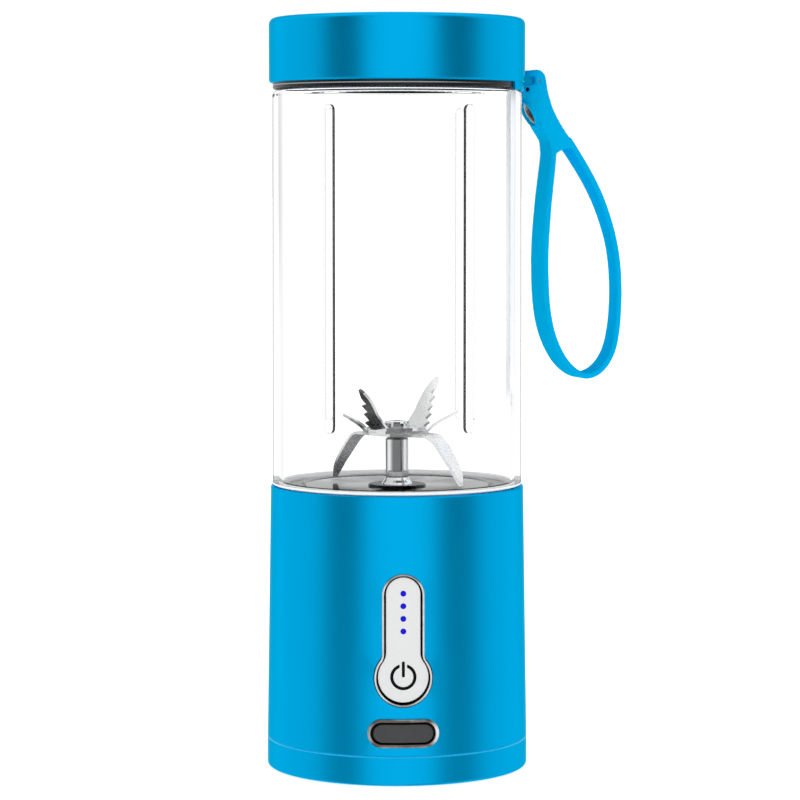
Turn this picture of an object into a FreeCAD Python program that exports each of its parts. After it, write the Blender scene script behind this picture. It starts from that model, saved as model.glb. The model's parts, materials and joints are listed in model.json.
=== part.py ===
import FreeCAD, Part
import Sketcher
import math
import os

# Portable bottle blender: a rechargeable motor base, a clear screw-on cup,
# a screw lid with a soft carrying strap, and a six-armed blade set on a post.
# Millimetres.  +Z is up, the origin is the centre of the foot on the table,
# and the control panel faces -Y.

doc = FreeCAD.newDocument("bottle_blender")
sheet = doc.addObject("Spreadsheet::Sheet", "Dims")
sheet.Label = "Dims"

TABLE = [
    # foot and bottom cover
    ("foot_radius", 33.0, "soft foot pad radius"),
    ("foot_thick", 1.6, "soft foot pad thickness"),
    ("base_radius", 40.0, "largest radius, at the seam of base and bottom cover"),
    ("cover_low", 0.2, "underside rim of the bottom cover"),
    ("cover_top", 9.1, "top of the bottom cover's outer wall"),
    ("cover_floor", 3.2, "inside floor of the bottom cover"),
    ("screw_circle", 28.5, "radius of the four case screws"),
    # base shell
    ("seam_z", 9.2, "lower edge of the base shell"),
    ("shell_top", 86.5, "upper edge of the base shell"),
    ("shell_top_radius", 38.8, "outer radius at the upper edge"),
    ("shell_in_low", 38.0, "inner radius at the seam"),
    ("shell_in_top", 37.3, "inner radius at the upper edge"),
    # control panel and port
    ("panel_low_z", 32.6, "centre of the round lower end of the panel"),
    ("panel_high_z", 57.3, "centre of the round upper end of the panel"),
    ("panel_big", 8.87, "radius of the shell's opening at its lower end"),
    ("panel_small", 6.34, "radius of the shell's opening at its upper end"),
    ("panel_flare", 3.5, "hollow radius where the round end runs into the straight sides"),
    ("bezel_big", 8.6, "radius of the bezel's lower end"),
    ("bezel_small", 6.3, "radius of the bezel's upper end"),
    ("plate_big", 7.5, "radius of the button plate's lower end"),
    ("plate_small", 5.1, "radius of the button plate's upper end"),
    ("plate_up", 0.28, "the plate sits this much above the middle of the bezel"),
    ("bezel_rise", 0.85, "bezel stands proud of the shell"),
    ("bezel_rim", 0.58, "width of the bezel's rim"),
    ("button_travel", 0.6, "stroke of the button plate"),
    ("port_z", 16.05, "height of the charging port's axis"),
    ("port_half_width", 10.7, "half width of the port bezel"),
    ("port_half_height", 4.33, "half height of the port bezel"),
    ("port_rim", 1.1, "width of the port bezel's rim"),
    # blade seat, post and plate
    ("seat_radius", 33.75, "outer radius of the threaded blade seat"),
    ("seat_floor", 75.2, "floor of the channel that takes the cup"),
    ("deck_low", 82.0, "underside of the seat deck"),
    ("deck_top", 85.2, "top of the seat deck"),
    ("plate_radius", 33.7, "stainless floor plate radius"),
    ("plate_z", 86.8, "top of the plate's flange"),
    ("dish_z", 86.0, "top of the plate's dished floor"),
    ("dish_radius", 29.3, "radius of the step in the plate"),
    ("dish_rise", 0.4, "the dished floor rises this much from its middle to the step"),
    ("dish_curve", 987.0, "radius of the dished floor's curve"),
    ("plate_lip", 1.3, "height of the plate's turned-down edge"),
    ("post_pad", 8.9, "radius of the black gasket under the post"),
    ("post_pad_top", 86.8, "top of the gasket under the post"),
    ("sheet_thick", 0.6, "stainless sheet thickness"),
    ("post_radius", 3.6, "post radius"),
    ("post_top", 100.9, "top of the post"),
    ("shaft_radius", 2.0, "blade shaft radius"),
    ("run_gap", 0.05, "radial running clearance of the shafts"),
    ("motor_shaft_radius", 1.5, "motor shaft radius"),
    # blades
    ("blade_turn", 39.3, "azimuth of the upper blade at rest"),
    ("mid_turn", -7.7, "azimuth of the middle blade at rest"),
    ("low_turn", -37.7, "azimuth of the lower blade at rest"),
    ("hub_low_z", 101.7, "underside of the lowest blade hub"),
    ("blade_thick", 0.8, "blade sheet thickness"),
    ("upper_thick", 1.0, "upper blade sheet thickness"),
    ("upper_bend", 8.0, "distance of the upper arms' bend from the axis"),
    ("upper_rise", 63.0, "upper arm angle above level"),
    ("upper_long", 17.55, "length of the longer upper arm from its bend"),
    ("upper_short", 14.4, "length of the shorter upper arm from its bend"),
    ("mid_long", 18.8, "tip radius of the longer middle arm"),
    ("mid_short", 16.6, "tip radius of the shorter middle arm"),
    ("low_reach", 24.8, "lower arm tip radius"),
    # cup
    ("cup_radius_low", 38.3, "cup outer radius just above the base"),
    ("cup_radius_top", 38.05, "cup outer radius under the lid"),
    ("cup_in", 34.9, "cup inner radius"),
    ("neck_out", 36.9, "lower neck outer radius"),
    ("neck_in", 34.9, "lower neck inner radius"),
    ("neck_low", 76.8, "bottom of the lower neck"),
    ("cup_sole", 86.8, "step of the cup above the base shell"),
    ("cup_shoulder", 207.1, "shoulder under the lid"),
    ("mouth_out", 35.3, "mouth outer radius"),
    ("mouth_in", 33.4, "mouth inner radius"),
    ("mouth_top", 224.85, "rim of the mouth"),
    ("cup_lead", 12.0, "lead of the cup's four-start thread"),
    ("cup_starts", 4, "thread starts"),
    ("rib_turn", 37.5, "rib azimuth each side of front and back"),
    ("rib_low", 104.3, "rib lower end"),
    ("rib_high", 202.5, "rib upper end"),
    ("rib_wide", 3.6, "rib width"),
    ("rib_in", 33.6, "rib face radius"),
    # lid
    ("lid_radius", 39.05, "lid outer radius"),
    ("lid_low", 209.4, "lid lower edge"),
    ("lid_top", 229.1, "top of the lid"),
    ("lid_in", 36.4, "lid inner radius"),
    ("lid_ceiling", 226.65, "inside of the lid's top"),
    ("lid_lead", 9.0, "lead of the lid's three-start thread"),
    ("lid_starts", 3, "thread starts"),
    ("collar_out", 37.9, "outer radius of the dark ring under the skirt"),
    ("collar_in", 36.3, "inner radius of the dark ring"),
    ("collar_low", 207.4, "lower edge of the dark ring"),
    ("lip_turn", 6.0, "azimuth of the middle of the lug's lip"),
    ("lip_span", 64.0, "angle that the lug's lip spans"),
    # strap and hinge
    ("strap_turn", 16.0, "azimuth of the strap"),
    ("pin_r", 45.3, "strap pin distance from the axis"),
    ("pin_z", 210.6, "strap pin height"),
    ("pin_radius", 0.9, "strap pin radius"),
    ("strap_wide", 10.0, "strap width"),
    ("strap_thick", 1.9, "strap thickness"),
    ("slot_half", 1.8, "half width of the slot in the strap's head"),
    ("tongue_half", 1.5, "half width of the lid's tongue"),
    ("rivet_r", 42.7, "rivet seat distance from the axis"),
    ("rivet_z", 200.1, "rivet seat height"),
    ("rivet_tilt", 28.0, "rivet tilt below level"),
    ("nose_r", 45.5, "centre of the head's rounded nose from the axis"),
    ("dome_radius", 8.0, "radius of the rivet's domed head"),
    # motor and power
    ("can_radius", 13.9, "motor can radius"),
    ("can_low", 30.6, "motor can lower edge"),
    ("can_top", 66.0, "motor can upper face"),
    ("cell_radius", 9.15, "battery cell radius"),
    ("cell_length", 65.0, "battery cell length"),
    ("cell_offset", 24.5, "battery cell distance from the axis"),
    ("board_front", -30.0, "front face of the circuit board"),
    ("board_thick", 1.6, "circuit board thickness"),
]
# Centre line of the strap's loop, in the strap's own plane: distance from the
# blender's axis and height, from the fork round the loop and back to it.
LOOP = [
    (49.9, 193.2), (49.7, 188.5), (49.1, 182.5), (48.2, 175.0), (47.5, 167.5),
    (47.0, 160.0), (46.9, 152.5), (47.1, 146.0), (47.7, 139.5), (49.1, 133.0),
    (51.3, 127.6), (54.4, 122.9), (57.4, 120.3), (60.7, 119.0), (64.1, 119.6),
    (67.3, 122.0), (69.8, 125.9), (71.4, 131.5), (72.2, 138.5), (72.4, 146.0),
    (72.0, 153.0), (70.9, 160.0), (68.9, 167.0), (66.0, 174.3), (62.3, 181.2),
    (58.2, 187.5), (54.6, 192.6),
]
for i, (pr, pz) in enumerate(LOOP):
    TABLE.append(("loop_r_%02d" % i, pr, "strap loop point"))
    TABLE.append(("loop_z_%02d" % i, pz, "strap loop point"))

for row, (alias, value, note) in enumerate(TABLE, 1):
    sheet.set("A%d" % row, alias)
    sheet.set("B%d" % row, str(value))
    sheet.set("C%d" % row, note)
    sheet.setAlias("B%d" % row, alias)
doc.recompute()


class Dim:
    """A number that also carries the sheet formula it came from."""

    def __init__(self, text, value):
        self.text = text
        self.value = value

    def __add__(self, other):
        other = dim(other)
        return Dim("(%s + %s)" % (self.text, other.text), self.value + other.value)

    def __radd__(self, other):
        return dim(other) + self

    def __sub__(self, other):
        other = dim(other)
        return Dim("(%s - %s)" % (self.text, other.text), self.value - other.value)

    def __rsub__(self, other):
        return dim(other) - self

    def __mul__(self, other):
        other = dim(other)
        return Dim("(%s * %s)" % (self.text, other.text), self.value * other.value)

    def __rmul__(self, other):
        return dim(other) * self

    def __truediv__(self, other):
        other = dim(other)
        return Dim("(%s / %s)" % (self.text, other.text), self.value / other.value)

    def __neg__(self):
        return Dim("(0 - %s)" % self.text, -self.value)


def dim(x):
    if isinstance(x, Dim):
        return x
    x = float(x)
    if x < 0:
        return Dim("(0 - %r)" % -x, x)
    return Dim("%r" % x, x)


def num(x):
    return dim(x).value


def root(x):
    x = dim(x)
    return Dim("sqrt(%s)" % x.text, math.sqrt(x.value))


D = {}
for alias, value, note in TABLE:
    D[alias] = Dim("Dims.%s" % alias, float(sheet.get(alias)))


def bind(obj, prop, value):
    obj.setExpression(prop, dim(value).text)


# ---------------------------------------------------------------- helpers

def new_body(label):
    body = doc.addObject("PartDesign::Body", label)
    body.Label = label
    return body


def plane(body, role):
    for feature in body.Origin.OriginFeatures:
        if feature.Role == role:
            return feature
    raise RuntimeError("no plane " + role)


def sketch_on(body, role, name, offset=None, turn=None, tilt=None):
    """A sketch on one of the body's own planes, moved along its normal."""
    sk = body.newObject("Sketcher::SketchObject", name)
    sk.AttachmentSupport = [(plane(body, role), "")]
    sk.MapMode = "FlatFace"
    if offset is not None:
        off = dim(offset)
        sk.AttachmentOffset = FreeCAD.Placement(
            FreeCAD.Vector(0, 0, off.value), FreeCAD.Rotation())
        bind(sk, "AttachmentOffset.Base.z", off)
    return sk


def poly(sk, points):
    """Closed polygon; every corner is dimensioned from the sketch origin."""
    pts = [(dim(x), dim(y)) for x, y in points]
    n = len(pts)
    base = sk.GeometryCount
    geo = []
    for i in range(n):
        a, b = pts[i], pts[(i + 1) % n]
        geo.append(Part.LineSegment(
            FreeCAD.Vector(a[0].value, a[1].value, 0),
            FreeCAD.Vector(b[0].value, b[1].value, 0)))
    sk.addGeometry(geo, False)
    cons = []
    for i in range(n):
        cons.append(Sketcher.Constraint("Coincident", base + i, 2, base + (i + 1) % n, 1))
    sk.addConstraint(cons)
    for i in range(n):
        x, y = pts[i]
        if abs(x.value) < 1e-9:
            sk.addConstraint(Sketcher.Constraint("PointOnObject", base + i, 1, -2))
        else:
            c = sk.addConstraint(Sketcher.Constraint("DistanceX", -1, 1, base + i, 1, x.value))
            sk.setExpression("Constraints[%d]" % c, x.text)
        if abs(y.value) < 1e-9:
            sk.addConstraint(Sketcher.Constraint("PointOnObject", base + i, 1, -1))
        else:
            c = sk.addConstraint(Sketcher.Constraint("DistanceY", -1, 1, base + i, 1, y.value))
            sk.setExpression("Constraints[%d]" % c, y.text)


def circle(sk, x, y, r):
    x, y, r = dim(x), dim(y), dim(r)
    g = sk.addGeometry(Part.Circle(
        FreeCAD.Vector(x.value, y.value, 0), FreeCAD.Vector(0, 0, 1), r.value), False)
    c = sk.addConstraint(Sketcher.Constraint("Radius", g, r.value))
    sk.setExpression("Constraints[%d]" % c, r.text)
    if abs(x.value) < 1e-9 and abs(y.value) < 1e-9:
        sk.addConstraint(Sketcher.Constraint("Coincident", g, 3, -1, 1))
        return
    if abs(x.value) < 1e-9:
        sk.addConstraint(Sketcher.Constraint("PointOnObject", g, 3, -2))
    else:
        c = sk.addConstraint(Sketcher.Constraint("DistanceX", -1, 1, g, 3, x.value))
        sk.setExpression("Constraints[%d]" % c, x.text)
    if abs(y.value) < 1e-9:
        sk.addConstraint(Sketcher.Constraint("PointOnObject", g, 3, -1))
    else:
        c = sk.addConstraint(Sketcher.Constraint("DistanceY", -1, 1, g, 3, y.value))
        sk.setExpression("Constraints[%d]" % c, y.text)


def hide(obj):
    return obj


def revolve(body, points, name="turned", angle=None):
    sk = sketch_on(body, "XZ_Plane", name + "_profile")
    poly(sk, points)
    doc.recompute()
    rev = body.newObject("PartDesign::Revolution", name)
    rev.Profile = sk
    rev.ReferenceAxis = (sk, ["V_Axis"])
    rev.Angle = 360.0
    if angle is not None:
        bind(rev, "Angle", angle)
        rev.Midplane = True
    body.Tip = rev
    doc.recompute()
    return rev


def groove(body, points, name):
    before = body.Shape.Volume
    sk = sketch_on(body, "XZ_Plane", name + "_profile")
    poly(sk, points)
    doc.recompute()
    cut_it = body.newObject("PartDesign::Groove", name)
    cut_it.Profile = sk
    cut_it.ReferenceAxis = (sk, ["V_Axis"])
    cut_it.Angle = 360.0
    body.Tip = cut_it
    doc.recompute()
    if not body.Shape.Volume < before - 1e-3:
        raise RuntimeError("groove cut nothing: " + name)
    return cut_it


def pad(body, sk, length, name, midplane=False):
    doc.recompute()
    feature = body.newObject("PartDesign::Pad", name)
    feature.Profile = sk
    bind(feature, "Length", length)
    feature.Length = num(length)
    if midplane:
        feature.SideType = "Symmetric"
    body.Tip = feature
    doc.recompute()
    return feature


def pocket(body, sk, length, name, reverse=False):
    before = body.Shape.Volume
    doc.recompute()
    feature = body.newObject("PartDesign::Pocket", name)
    feature.Profile = sk
    bind(feature, "Length", length)
    feature.Length = num(length)
    feature.Reversed = reverse
    body.Tip = feature
    doc.recompute()
    if not body.Shape.Volume < before - 1e-3:
        raise RuntimeError("pocket cut nothing: " + name)
    return feature


def polar(body, features, count, name):
    sk = features[0].Profile[0]
    pat = body.newObject("PartDesign::PolarPattern", name)
    pat.Originals = features
    axis_feature = None
    for feature in body.Origin.OriginFeatures:
        if feature.Role == "Z_Axis":
            axis_feature = feature
    pat.Axis = (axis_feature, [""])
    pat.Angle = 360.0
    bind(pat, "Occurrences", count)
    pat.Occurrences = int(round(num(count)))
    body.Tip = pat
    doc.recompute()
    return pat


def ring_edges(shape, r, z):
    """Names of the round edges about the Z axis at radius r and height z."""
    names = []
    for i, e in enumerate(shape.Edges):
        c = e.Curve
        if isinstance(c, Part.Circle) and abs(c.Radius - r) < 1e-3:
            p = c.Center
            if abs(p.x) < 1e-3 and abs(p.y) < 1e-3 and abs(p.z - z) < 1e-3:
                names.append("Edge%d" % (i + 1))
    return names


def round_rings(body, rings, radius, name):
    base = body.Tip
    names = []
    for r, z in rings:
        found = ring_edges(base.Shape, num(r), num(z))
        if not found:
            raise RuntimeError("no ring edge for " + name)
        names += found
    f = body.newObject("PartDesign::Fillet", name)
    f.Base = (base, names)
    bind(f, "Radius", radius)
    f.Radius = num(radius)
    body.Tip = f
    doc.recompute()
    return f


def helix_ridge(body, points, pitch, height, name):
    """A screw ridge with the given section, fused to the wall."""
    sk = sketch_on(body, "XZ_Plane", name + "_section")
    poly(sk, points)
    doc.recompute()
    h = body.newObject("PartDesign::AdditiveHelix", name)
    h.Profile = sk
    h.ReferenceAxis = (sk, ["V_Axis"])
    h.Mode = 0
    bind(h, "Pitch", pitch)
    h.Pitch = num(pitch)
    bind(h, "Height", height)
    h.Height = num(height)
    body.Tip = h
    doc.recompute()
    return h


def cylinder(name, r, length, at=(0, 0, 0), axis="z"):
    """axis: z up, f toward -Y (the front), x toward +X."""
    c = doc.addObject("Part::Cylinder", name)
    c.Radius = num(r)
    c.Height = num(length)
    rot = FreeCAD.Rotation()
    if axis == "f":
        rot = FreeCAD.Rotation(FreeCAD.Vector(1, 0, 0), 90)
    if axis == "x":
        rot = FreeCAD.Rotation(FreeCAD.Vector(0, 1, 0), 90)
    c.Placement = FreeCAD.Placement(
        FreeCAD.Vector(num(at[0]), num(at[1]), num(at[2])), rot)
    bind(c, "Radius", r)
    bind(c, "Height", length)
    for key, v in zip("xyz", at):
        bind(c, "Placement.Base." + key, v)
    return c


def block(name, low, high):
    b = doc.addObject("Part::Box", name)
    b.Length = num(high[0]) - num(low[0])
    b.Width = num(high[1]) - num(low[1])
    b.Height = num(high[2]) - num(low[2])
    b.Placement = FreeCAD.Placement(
        FreeCAD.Vector(num(low[0]), num(low[1]), num(low[2])), FreeCAD.Rotation())
    bind(b, "Length", dim(high[0]) - low[0])
    bind(b, "Width", dim(high[1]) - low[1])
    bind(b, "Height", dim(high[2]) - low[2])
    for key, v in zip("xyz", low):
        bind(b, "Placement.Base." + key, v)
    return b


def fuse(name, parts):
    f = doc.addObject("Part::MultiFuse", name)
    f.Shapes = parts
    f.Refine = True
    f.Label = name
    doc.recompute()
    return f


def cut(name, base, tool):
    doc.recompute()
    before = base.Shape.Volume
    f = doc.addObject("Part::Cut", name)
    f.Base = base
    f.Tool = tool
    f.Refine = True
    f.Label = name
    doc.recompute()
    if not f.Shape.Volume < before - 1e-4:
        raise RuntimeError("cut removed nothing: " + name)
    return f


def common(name, base, tool):
    f = doc.addObject("Part::Common", name)
    f.Base = base
    f.Tool = tool
    f.Refine = True
    f.Label = name
    doc.recompute()
    return f


def turn_about_z(obj, angle):
    obj.Placement = FreeCAD.Placement(
        FreeCAD.Vector(0, 0, 0), FreeCAD.Rotation(FreeCAD.Vector(0, 0, 1), num(angle)))
    bind(obj, "Placement.Rotation.Angle", angle)
    doc.recompute()
    return obj


def edges_where(shape, test):
    out = []
    for i, e in enumerate(shape.Edges):
        if test(e):
            out.append("Edge%d" % (i + 1))
    return out


def part_fillet(name, base, names, radius):
    f = doc.addObject("Part::Fillet", name)
    f.Base = base
    f.Edges = [(int(n[4:]), radius, radius) for n in names]
    f.Label = name
    doc.recompute()
    return f


NODES = {}


def node(name, obj):
    obj.Label = name
    NODES[name] = obj
    return obj


# Radius of the base shell's outer face at a height.
def shell_r(z):
    return (D["base_radius"] - (D["base_radius"] - D["shell_top_radius"])
            * (dim(z) - D["seam_z"]) / (D["shell_top"] - D["seam_z"]))


def sleeve(name, z0, z1, inner, outer):
    """Ring that follows the shell's taper, from shell+inner to shell+outer."""
    b = new_body(name)
    revolve(b, [(shell_r(z0) + inner, z0), (shell_r(z0) + outer, z0),
                (shell_r(z1) + outer, z1), (shell_r(z1) + inner, z1)])
    return b


def keyhole(name, big, small, y_back, y_front, up=0.0):
    """Prism along -Y: a disc below and a pill above it, run together by two hollow fillets."""
    big, small = dim(big), dim(small)
    depth = dim(y_back) - y_front
    low_z, high_z = D["panel_low_z"] + up, D["panel_high_z"] + up
    low = cylinder(name + "_low", big, depth, (0, y_back, low_z), "f")
    high = cylinder(name + "_high", small, depth, (0, y_back, high_z), "f")
    mid = block(name + "_mid", (-small, y_front, low_z), (small, y_back, high_z))
    flare = D["panel_flare"] + D["panel_big"] - big
    reach = small + flare
    rise = root(big * big - small * small + flare * (big - small) * 2.0)
    web = new_body(name + "_web")
    sk = sketch_on(web, "XZ_Plane", name + "_web_outline", offset=-dim(y_back))
    poly(sk, [(-reach, low_z + rise), (0, low_z), (reach, low_z + rise)])
    pad(web, sk, depth, name + "_web_pad")
    hollows = [cylinder("%s_hollow_%d" % (name, i), flare, depth + 2.0,
                        (reach * side, dim(y_back) + 1.0, low_z + rise), "f")
               for i, side in enumerate((-1, 1))]
    joint = cut(name + "_joint", web, fuse(name + "_hollows", hollows))
    return fuse(name, [low, high, mid, joint])


def stadium(name, half_w, half_h, y_back, y_front, z=None):
    z = D["port_z"] if z is None else z
    depth = dim(y_back) - y_front
    reach = dim(half_w) - half_h
    left = cylinder(name + "_left", half_h, depth, (-reach, y_back, z), "f")
    right = cylinder(name + "_right", half_h, depth, (reach, y_back, z), "f")
    mid = block(name + "_mid", (-reach, y_front, dim(z) - half_h),
                (reach, y_back, dim(z) + half_h))
    return fuse(name, [left, right, mid])


# ================================================================ base: case

# Foot pad: a full disc with two moulded rings for grip.
foot = new_body("foot_pad")
revolve(foot, [(0, 0), (D["foot_radius"] - 0.3, 0), (D["foot_radius"], 0.3),
               (D["foot_radius"], D["foot_thick"]), (0, D["foot_thick"])])
groove(foot, [(22, 0), (24, 0), (24, 0.5), (22, 0.5)], "grip_ring_outer")
groove(foot, [(12, 0), (14, 0), (14, 0.5), (12, 0.5)], "grip_ring_inner")
node("foot_pad", foot)

# Bottom cover: shallow tray with a spigot and four screw bosses.
cover = new_body("bottom_cover")
revolve(cover, [
    (0, D["foot_thick"]), (D["foot_radius"] + 0.2, D["foot_thick"]),
    (D["foot_radius"] + 0.2, D["cover_low"]), (D["base_radius"], D["cover_low"]),
    (D["base_radius"], D["cover_top"] - 0.45), (D["base_radius"] - 0.4, D["cover_top"]), (37.7, D["cover_top"]),
    (37.7, D["cover_top"] + 1.3), (36.2, D["cover_top"] + 1.3),
    (36.2, D["cover_floor"]), (0, D["cover_floor"])])
round_rings(cover, [(D["base_radius"], D["cover_low"])], 0.8, "heel_round")
diag = math.cos(math.radians(45.0))
sk = sketch_on(cover, "XY_Plane", "boss_sketch", offset=2.4)
circle(sk, D["screw_circle"] * diag, D["screw_circle"] * diag, 3.4)
boss = pad(cover, sk, 6.4, "boss")
polar(cover, [boss], 4, "bosses")
sk = sketch_on(cover, "XY_Plane", "head_seat_sketch", offset=1.0)
circle(sk, D["screw_circle"] * diag, D["screw_circle"] * diag, 2.8)
seat_pocket = pocket(cover, sk, 2.6, "head_seat", reverse=True)
polar(cover, [seat_pocket], 4, "head_seats")
sk = sketch_on(cover, "XY_Plane", "screw_way_sketch", offset=1.0)
circle(sk, D["screw_circle"] * diag, D["screw_circle"] * diag, 1.4)
way = pocket(cover, sk, 9.0, "screw_way", reverse=True)
polar(cover, [way], 4, "screw_ways")
node("bottom_cover", cover)


def screw_set(name, head_low, head_r, head_h, shank_r, shank_to, circle_r, up=True):
    """Four case screws on the diagonals, each a domed head and a shank."""
    parts = []
    for i, (sx, sy) in enumerate(((1, 1), (-1, 1), (-1, -1), (1, -1))):
        px = dim(circle_r) * (diag * sx)
        py = dim(circle_r) * (diag * sy)
        head = cylinder("%s_head_%d" % (name, i), head_r, head_h, (px, py, head_low))
        if up:
            low = dim(head_low) + head_h
            high = dim(shank_to)
        else:
            low = dim(shank_to)
            high = dim(head_low)
        shank = cylinder("%s_shank_%d" % (name, i), shank_r, high - low, (px, py, low))
        recess_z = dim(head_low) - 0.2 if up else dim(head_low) + head_h - 0.8
        slot_a = block("%s_slot_a_%d" % (name, i),
                       (px - 1.5, py - 0.3, recess_z), (px + 1.5, py + 0.3, recess_z + 1.0))
        slot_b = block("%s_slot_b_%d" % (name, i),
                       (px - 0.3, py - 1.5, recess_z), (px + 0.3, py + 1.5, recess_z + 1.0))
        solid = fuse("%s_solid_%d" % (name, i), [head, shank])
        cross = fuse("%s_cross_%d" % (name, i), [slot_a, slot_b])
        parts.append(cut("%s_one_%d" % (name, i), solid, cross))
    return fuse(name, parts)


node("cover_screws", screw_set("cover_screws", 1.75, 2.5, 1.8, 1.25, 20.0, D["screw_circle"]))

# Base shell: slightly tapered tube, open at both ends, cut for panel and port.
shell_body = new_body("shell_tube")
revolve(shell_body, [
    (D["base_radius"], D["seam_z"]), (D["shell_top_radius"], D["shell_top"]),
    (D["shell_in_top"], D["shell_top"]), (D["shell_in_low"], D["seam_z"])])
round_rings(shell_body, [(D["shell_top_radius"], D["shell_top"])], 0.45, "top_round")
round_rings(shell_body, [(D["base_radius"], D["seam_z"])], 0.12, "seam_round_up")
panel_hole = keyhole("panel_hole", D["panel_big"], D["panel_small"], -30, -44)
port_hole = stadium("port_hole", D["port_half_width"] - 0.75, D["port_half_height"] - 0.75, -30, -44)
shell_cut = cut("shell_cut", shell_body, fuse("front_holes", [panel_hole, port_hole]))
node("base_shell", shell_cut)

# ================================================================ base: panel

# Bezel: a bright metal wall that stands in the shell's opening and rises proud of it.
bezel_zone = sleeve("bezel_zone", 18, 70, -3.2, D["bezel_rise"])
bezel_prism = keyhole("bezel_prism", D["bezel_big"], D["bezel_small"], -36.3, -44)
bezel_wall = common("bezel_wall", bezel_prism, bezel_zone)
bezel_hole = keyhole("bezel_hole", D["bezel_big"] - D["bezel_rim"], D["bezel_small"] - D["bezel_rim"], -28, -46)
bezel_ring = cut("bezel_ring", bezel_wall, bezel_hole)


def outer_rim(shape, z0, z1, lift):
    """Edges of the bezel that lie on its proud face."""
    names = []
    for i, e in enumerate(shape.Edges):
        m = e.valueAt((e.FirstParameter + e.LastParameter) / 2.0)
        face_r = num(shell_r(m.z)) + lift
        if abs(math.hypot(m.x, m.y) - face_r) < 0.02 and m.y < 0 and z0 < m.z < z1:
            ends = [v.Point for v in e.Vertexes]
            ok = True
            for p in ends:
                if abs(math.hypot(p.x, p.y) - (num(shell_r(p.z)) + lift)) > 0.02:
                    ok = False
            if ok:
                names.append("Edge%d" % (i + 1))
    return names


def try_round(name, base, lift, radius, z0, z1):
    """Round the proud edges; the sharp solid stays if the kernel can't."""
    names = outer_rim(base.Shape, z0, z1, lift)
    f = part_fillet(name, base, names, radius)
    good = (not f.Shape.isNull()) and f.Shape.isValid() and len(f.Shape.Solids) == 1
    good = good and ("Invalid" not in f.State) and 0.8 * base.Shape.Volume < f.Shape.Volume < base.Shape.Volume
    if good:
        print("rounded", name, len(names), "edges")
        return f
    print("left sharp", name, len(names), "edges")
    doc.removeObject(f.Name)
    doc.recompute()
    return base


node("panel_bezel", try_round("panel_bezel_rounded", bezel_ring, num(D["bezel_rise"]), 0.26, 18, 70))

# Dark tray behind the button plate.
tray_block = keyhole("tray_block", D["panel_big"] + 0.6, D["panel_small"] + 0.6, -33.8, -36.2)
tray_well = keyhole("tray_well", D["bezel_big"] - D["bezel_rim"], D["bezel_small"] - D["bezel_rim"], -34.9, -38)
stem_hole = cylinder("tray_stem_hole", 2.2, 6, (0, -32, D["panel_low_z"]), "f")
LED_Z = (57.85, 54.1, 50.35, 46.6)
light_holes = [cylinder("tray_light_%d" % i, 1.15, 6, (0, -32, z), "f") for i, z in enumerate(LED_Z)]
tray_tools = fuse("tray_tools", [tray_well, stem_hole] + light_holes)
node("panel_tray", cut("panel_tray_cut", tray_block, tray_tools))

# Button plate with its stem, the inlaid power symbol and four light windows.
plate_prism = keyhole("plate_prism", D["plate_big"], D["plate_small"], -36.9, -44, D["plate_up"])
plate_zone = sleeve("plate_zone", 18, 70, -6.0, 0.3)
plate_curved = common("plate_curved", plate_prism, plate_zone)
stem = cylinder("plate_stem", 1.6, 2.1, (0, -35.0, D["panel_low_z"]), "f")
plate_solid = try_round("plate_rounded", fuse("plate_solid", [plate_curved, stem]), 0.3, 0.25, 18, 70)
symbol_zone = sleeve("symbol_zone", 18, 70, -0.15, 0.34)
ring_out = cylinder("symbol_ring_out", 3.9, 14, (0, -32, D["panel_low_z"] + 0.38), "f")
ring_in = cylinder("symbol_ring_in", 2.97, 16, (0, -31, D["panel_low_z"] + 0.38), "f")
ring_gap = block("symbol_ring_gap", (-1.12, -47, D["panel_low_z"] + 1.4), (1.12, -30, D["panel_low_z"] + 5.4))
ring = cut("symbol_ring", ring_out, fuse("symbol_ring_tools", [ring_in, ring_gap]))
bar = fuse("symbol_bar", [
    block("symbol_bar_mid", (-0.44, -46, D["panel_low_z"] + 0.72), (0.44, -32, D["panel_low_z"] + 4.6)),
    cylinder("symbol_bar_low", 0.44, 14, (0, -32, D["panel_low_z"] + 0.72), "f"),
    cylinder("symbol_bar_high", 0.44, 14, (0, -32, D["panel_low_z"] + 4.6), "f")])
symbol = common("symbol_inlay", fuse("symbol_prism", [ring, bar]), symbol_zone)
lens_zone = sleeve("lens_zone", 18, 70, -4.6, 0.36)
lens_rods = fuse("lens_rods", [cylinder("lens_rod_%d" % i, 0.86, 10, (0, -36.9, z), "f") for i, z in enumerate(LED_Z)])
lenses = common("lens_set", lens_rods, lens_zone)
plate_holes = fuse("plate_holes", [cylinder("plate_hole_%d" % i, 0.86, 12, (0, -36, z), "f") for i, z in enumerate(LED_Z)])
plate_tools = fuse("plate_tools", [symbol, plate_holes])
node("power_button", cut("power_button_cut", plate_solid, plate_tools))
node("button_symbol", symbol)
node("led_lenses", lenses)

# Charging port: bezel, socket block, receptacle and soft cover.
port_near = sleeve("port_face_zone", 8.9, 24, 0.02, D["bezel_rise"])
port_deep = sleeve("port_neck_zone", 8.9, 24, -3.0, 0.3)
pb_face = common("port_face", stadium("port_face_prism", D["port_half_width"], D["port_half_height"], -34, -44), port_near)
pb_neck = common("port_neck", stadium("port_neck_prism", D["port_half_width"] - 0.8, D["port_half_height"] - 0.8, -36.5, -44), port_deep)
pb_solid = fuse("port_bezel_solid", [pb_face, pb_neck])
pb_ring = cut("port_bezel_ring", pb_solid,
              stadium("port_bezel_hole", D["port_half_width"] - D["port_rim"], D["port_half_height"] - D["port_rim"], -28, -46))
node("port_bezel", try_round("port_bezel_rounded", pb_ring, num(D["bezel_rise"]), 0.45, 8, 25))

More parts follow.
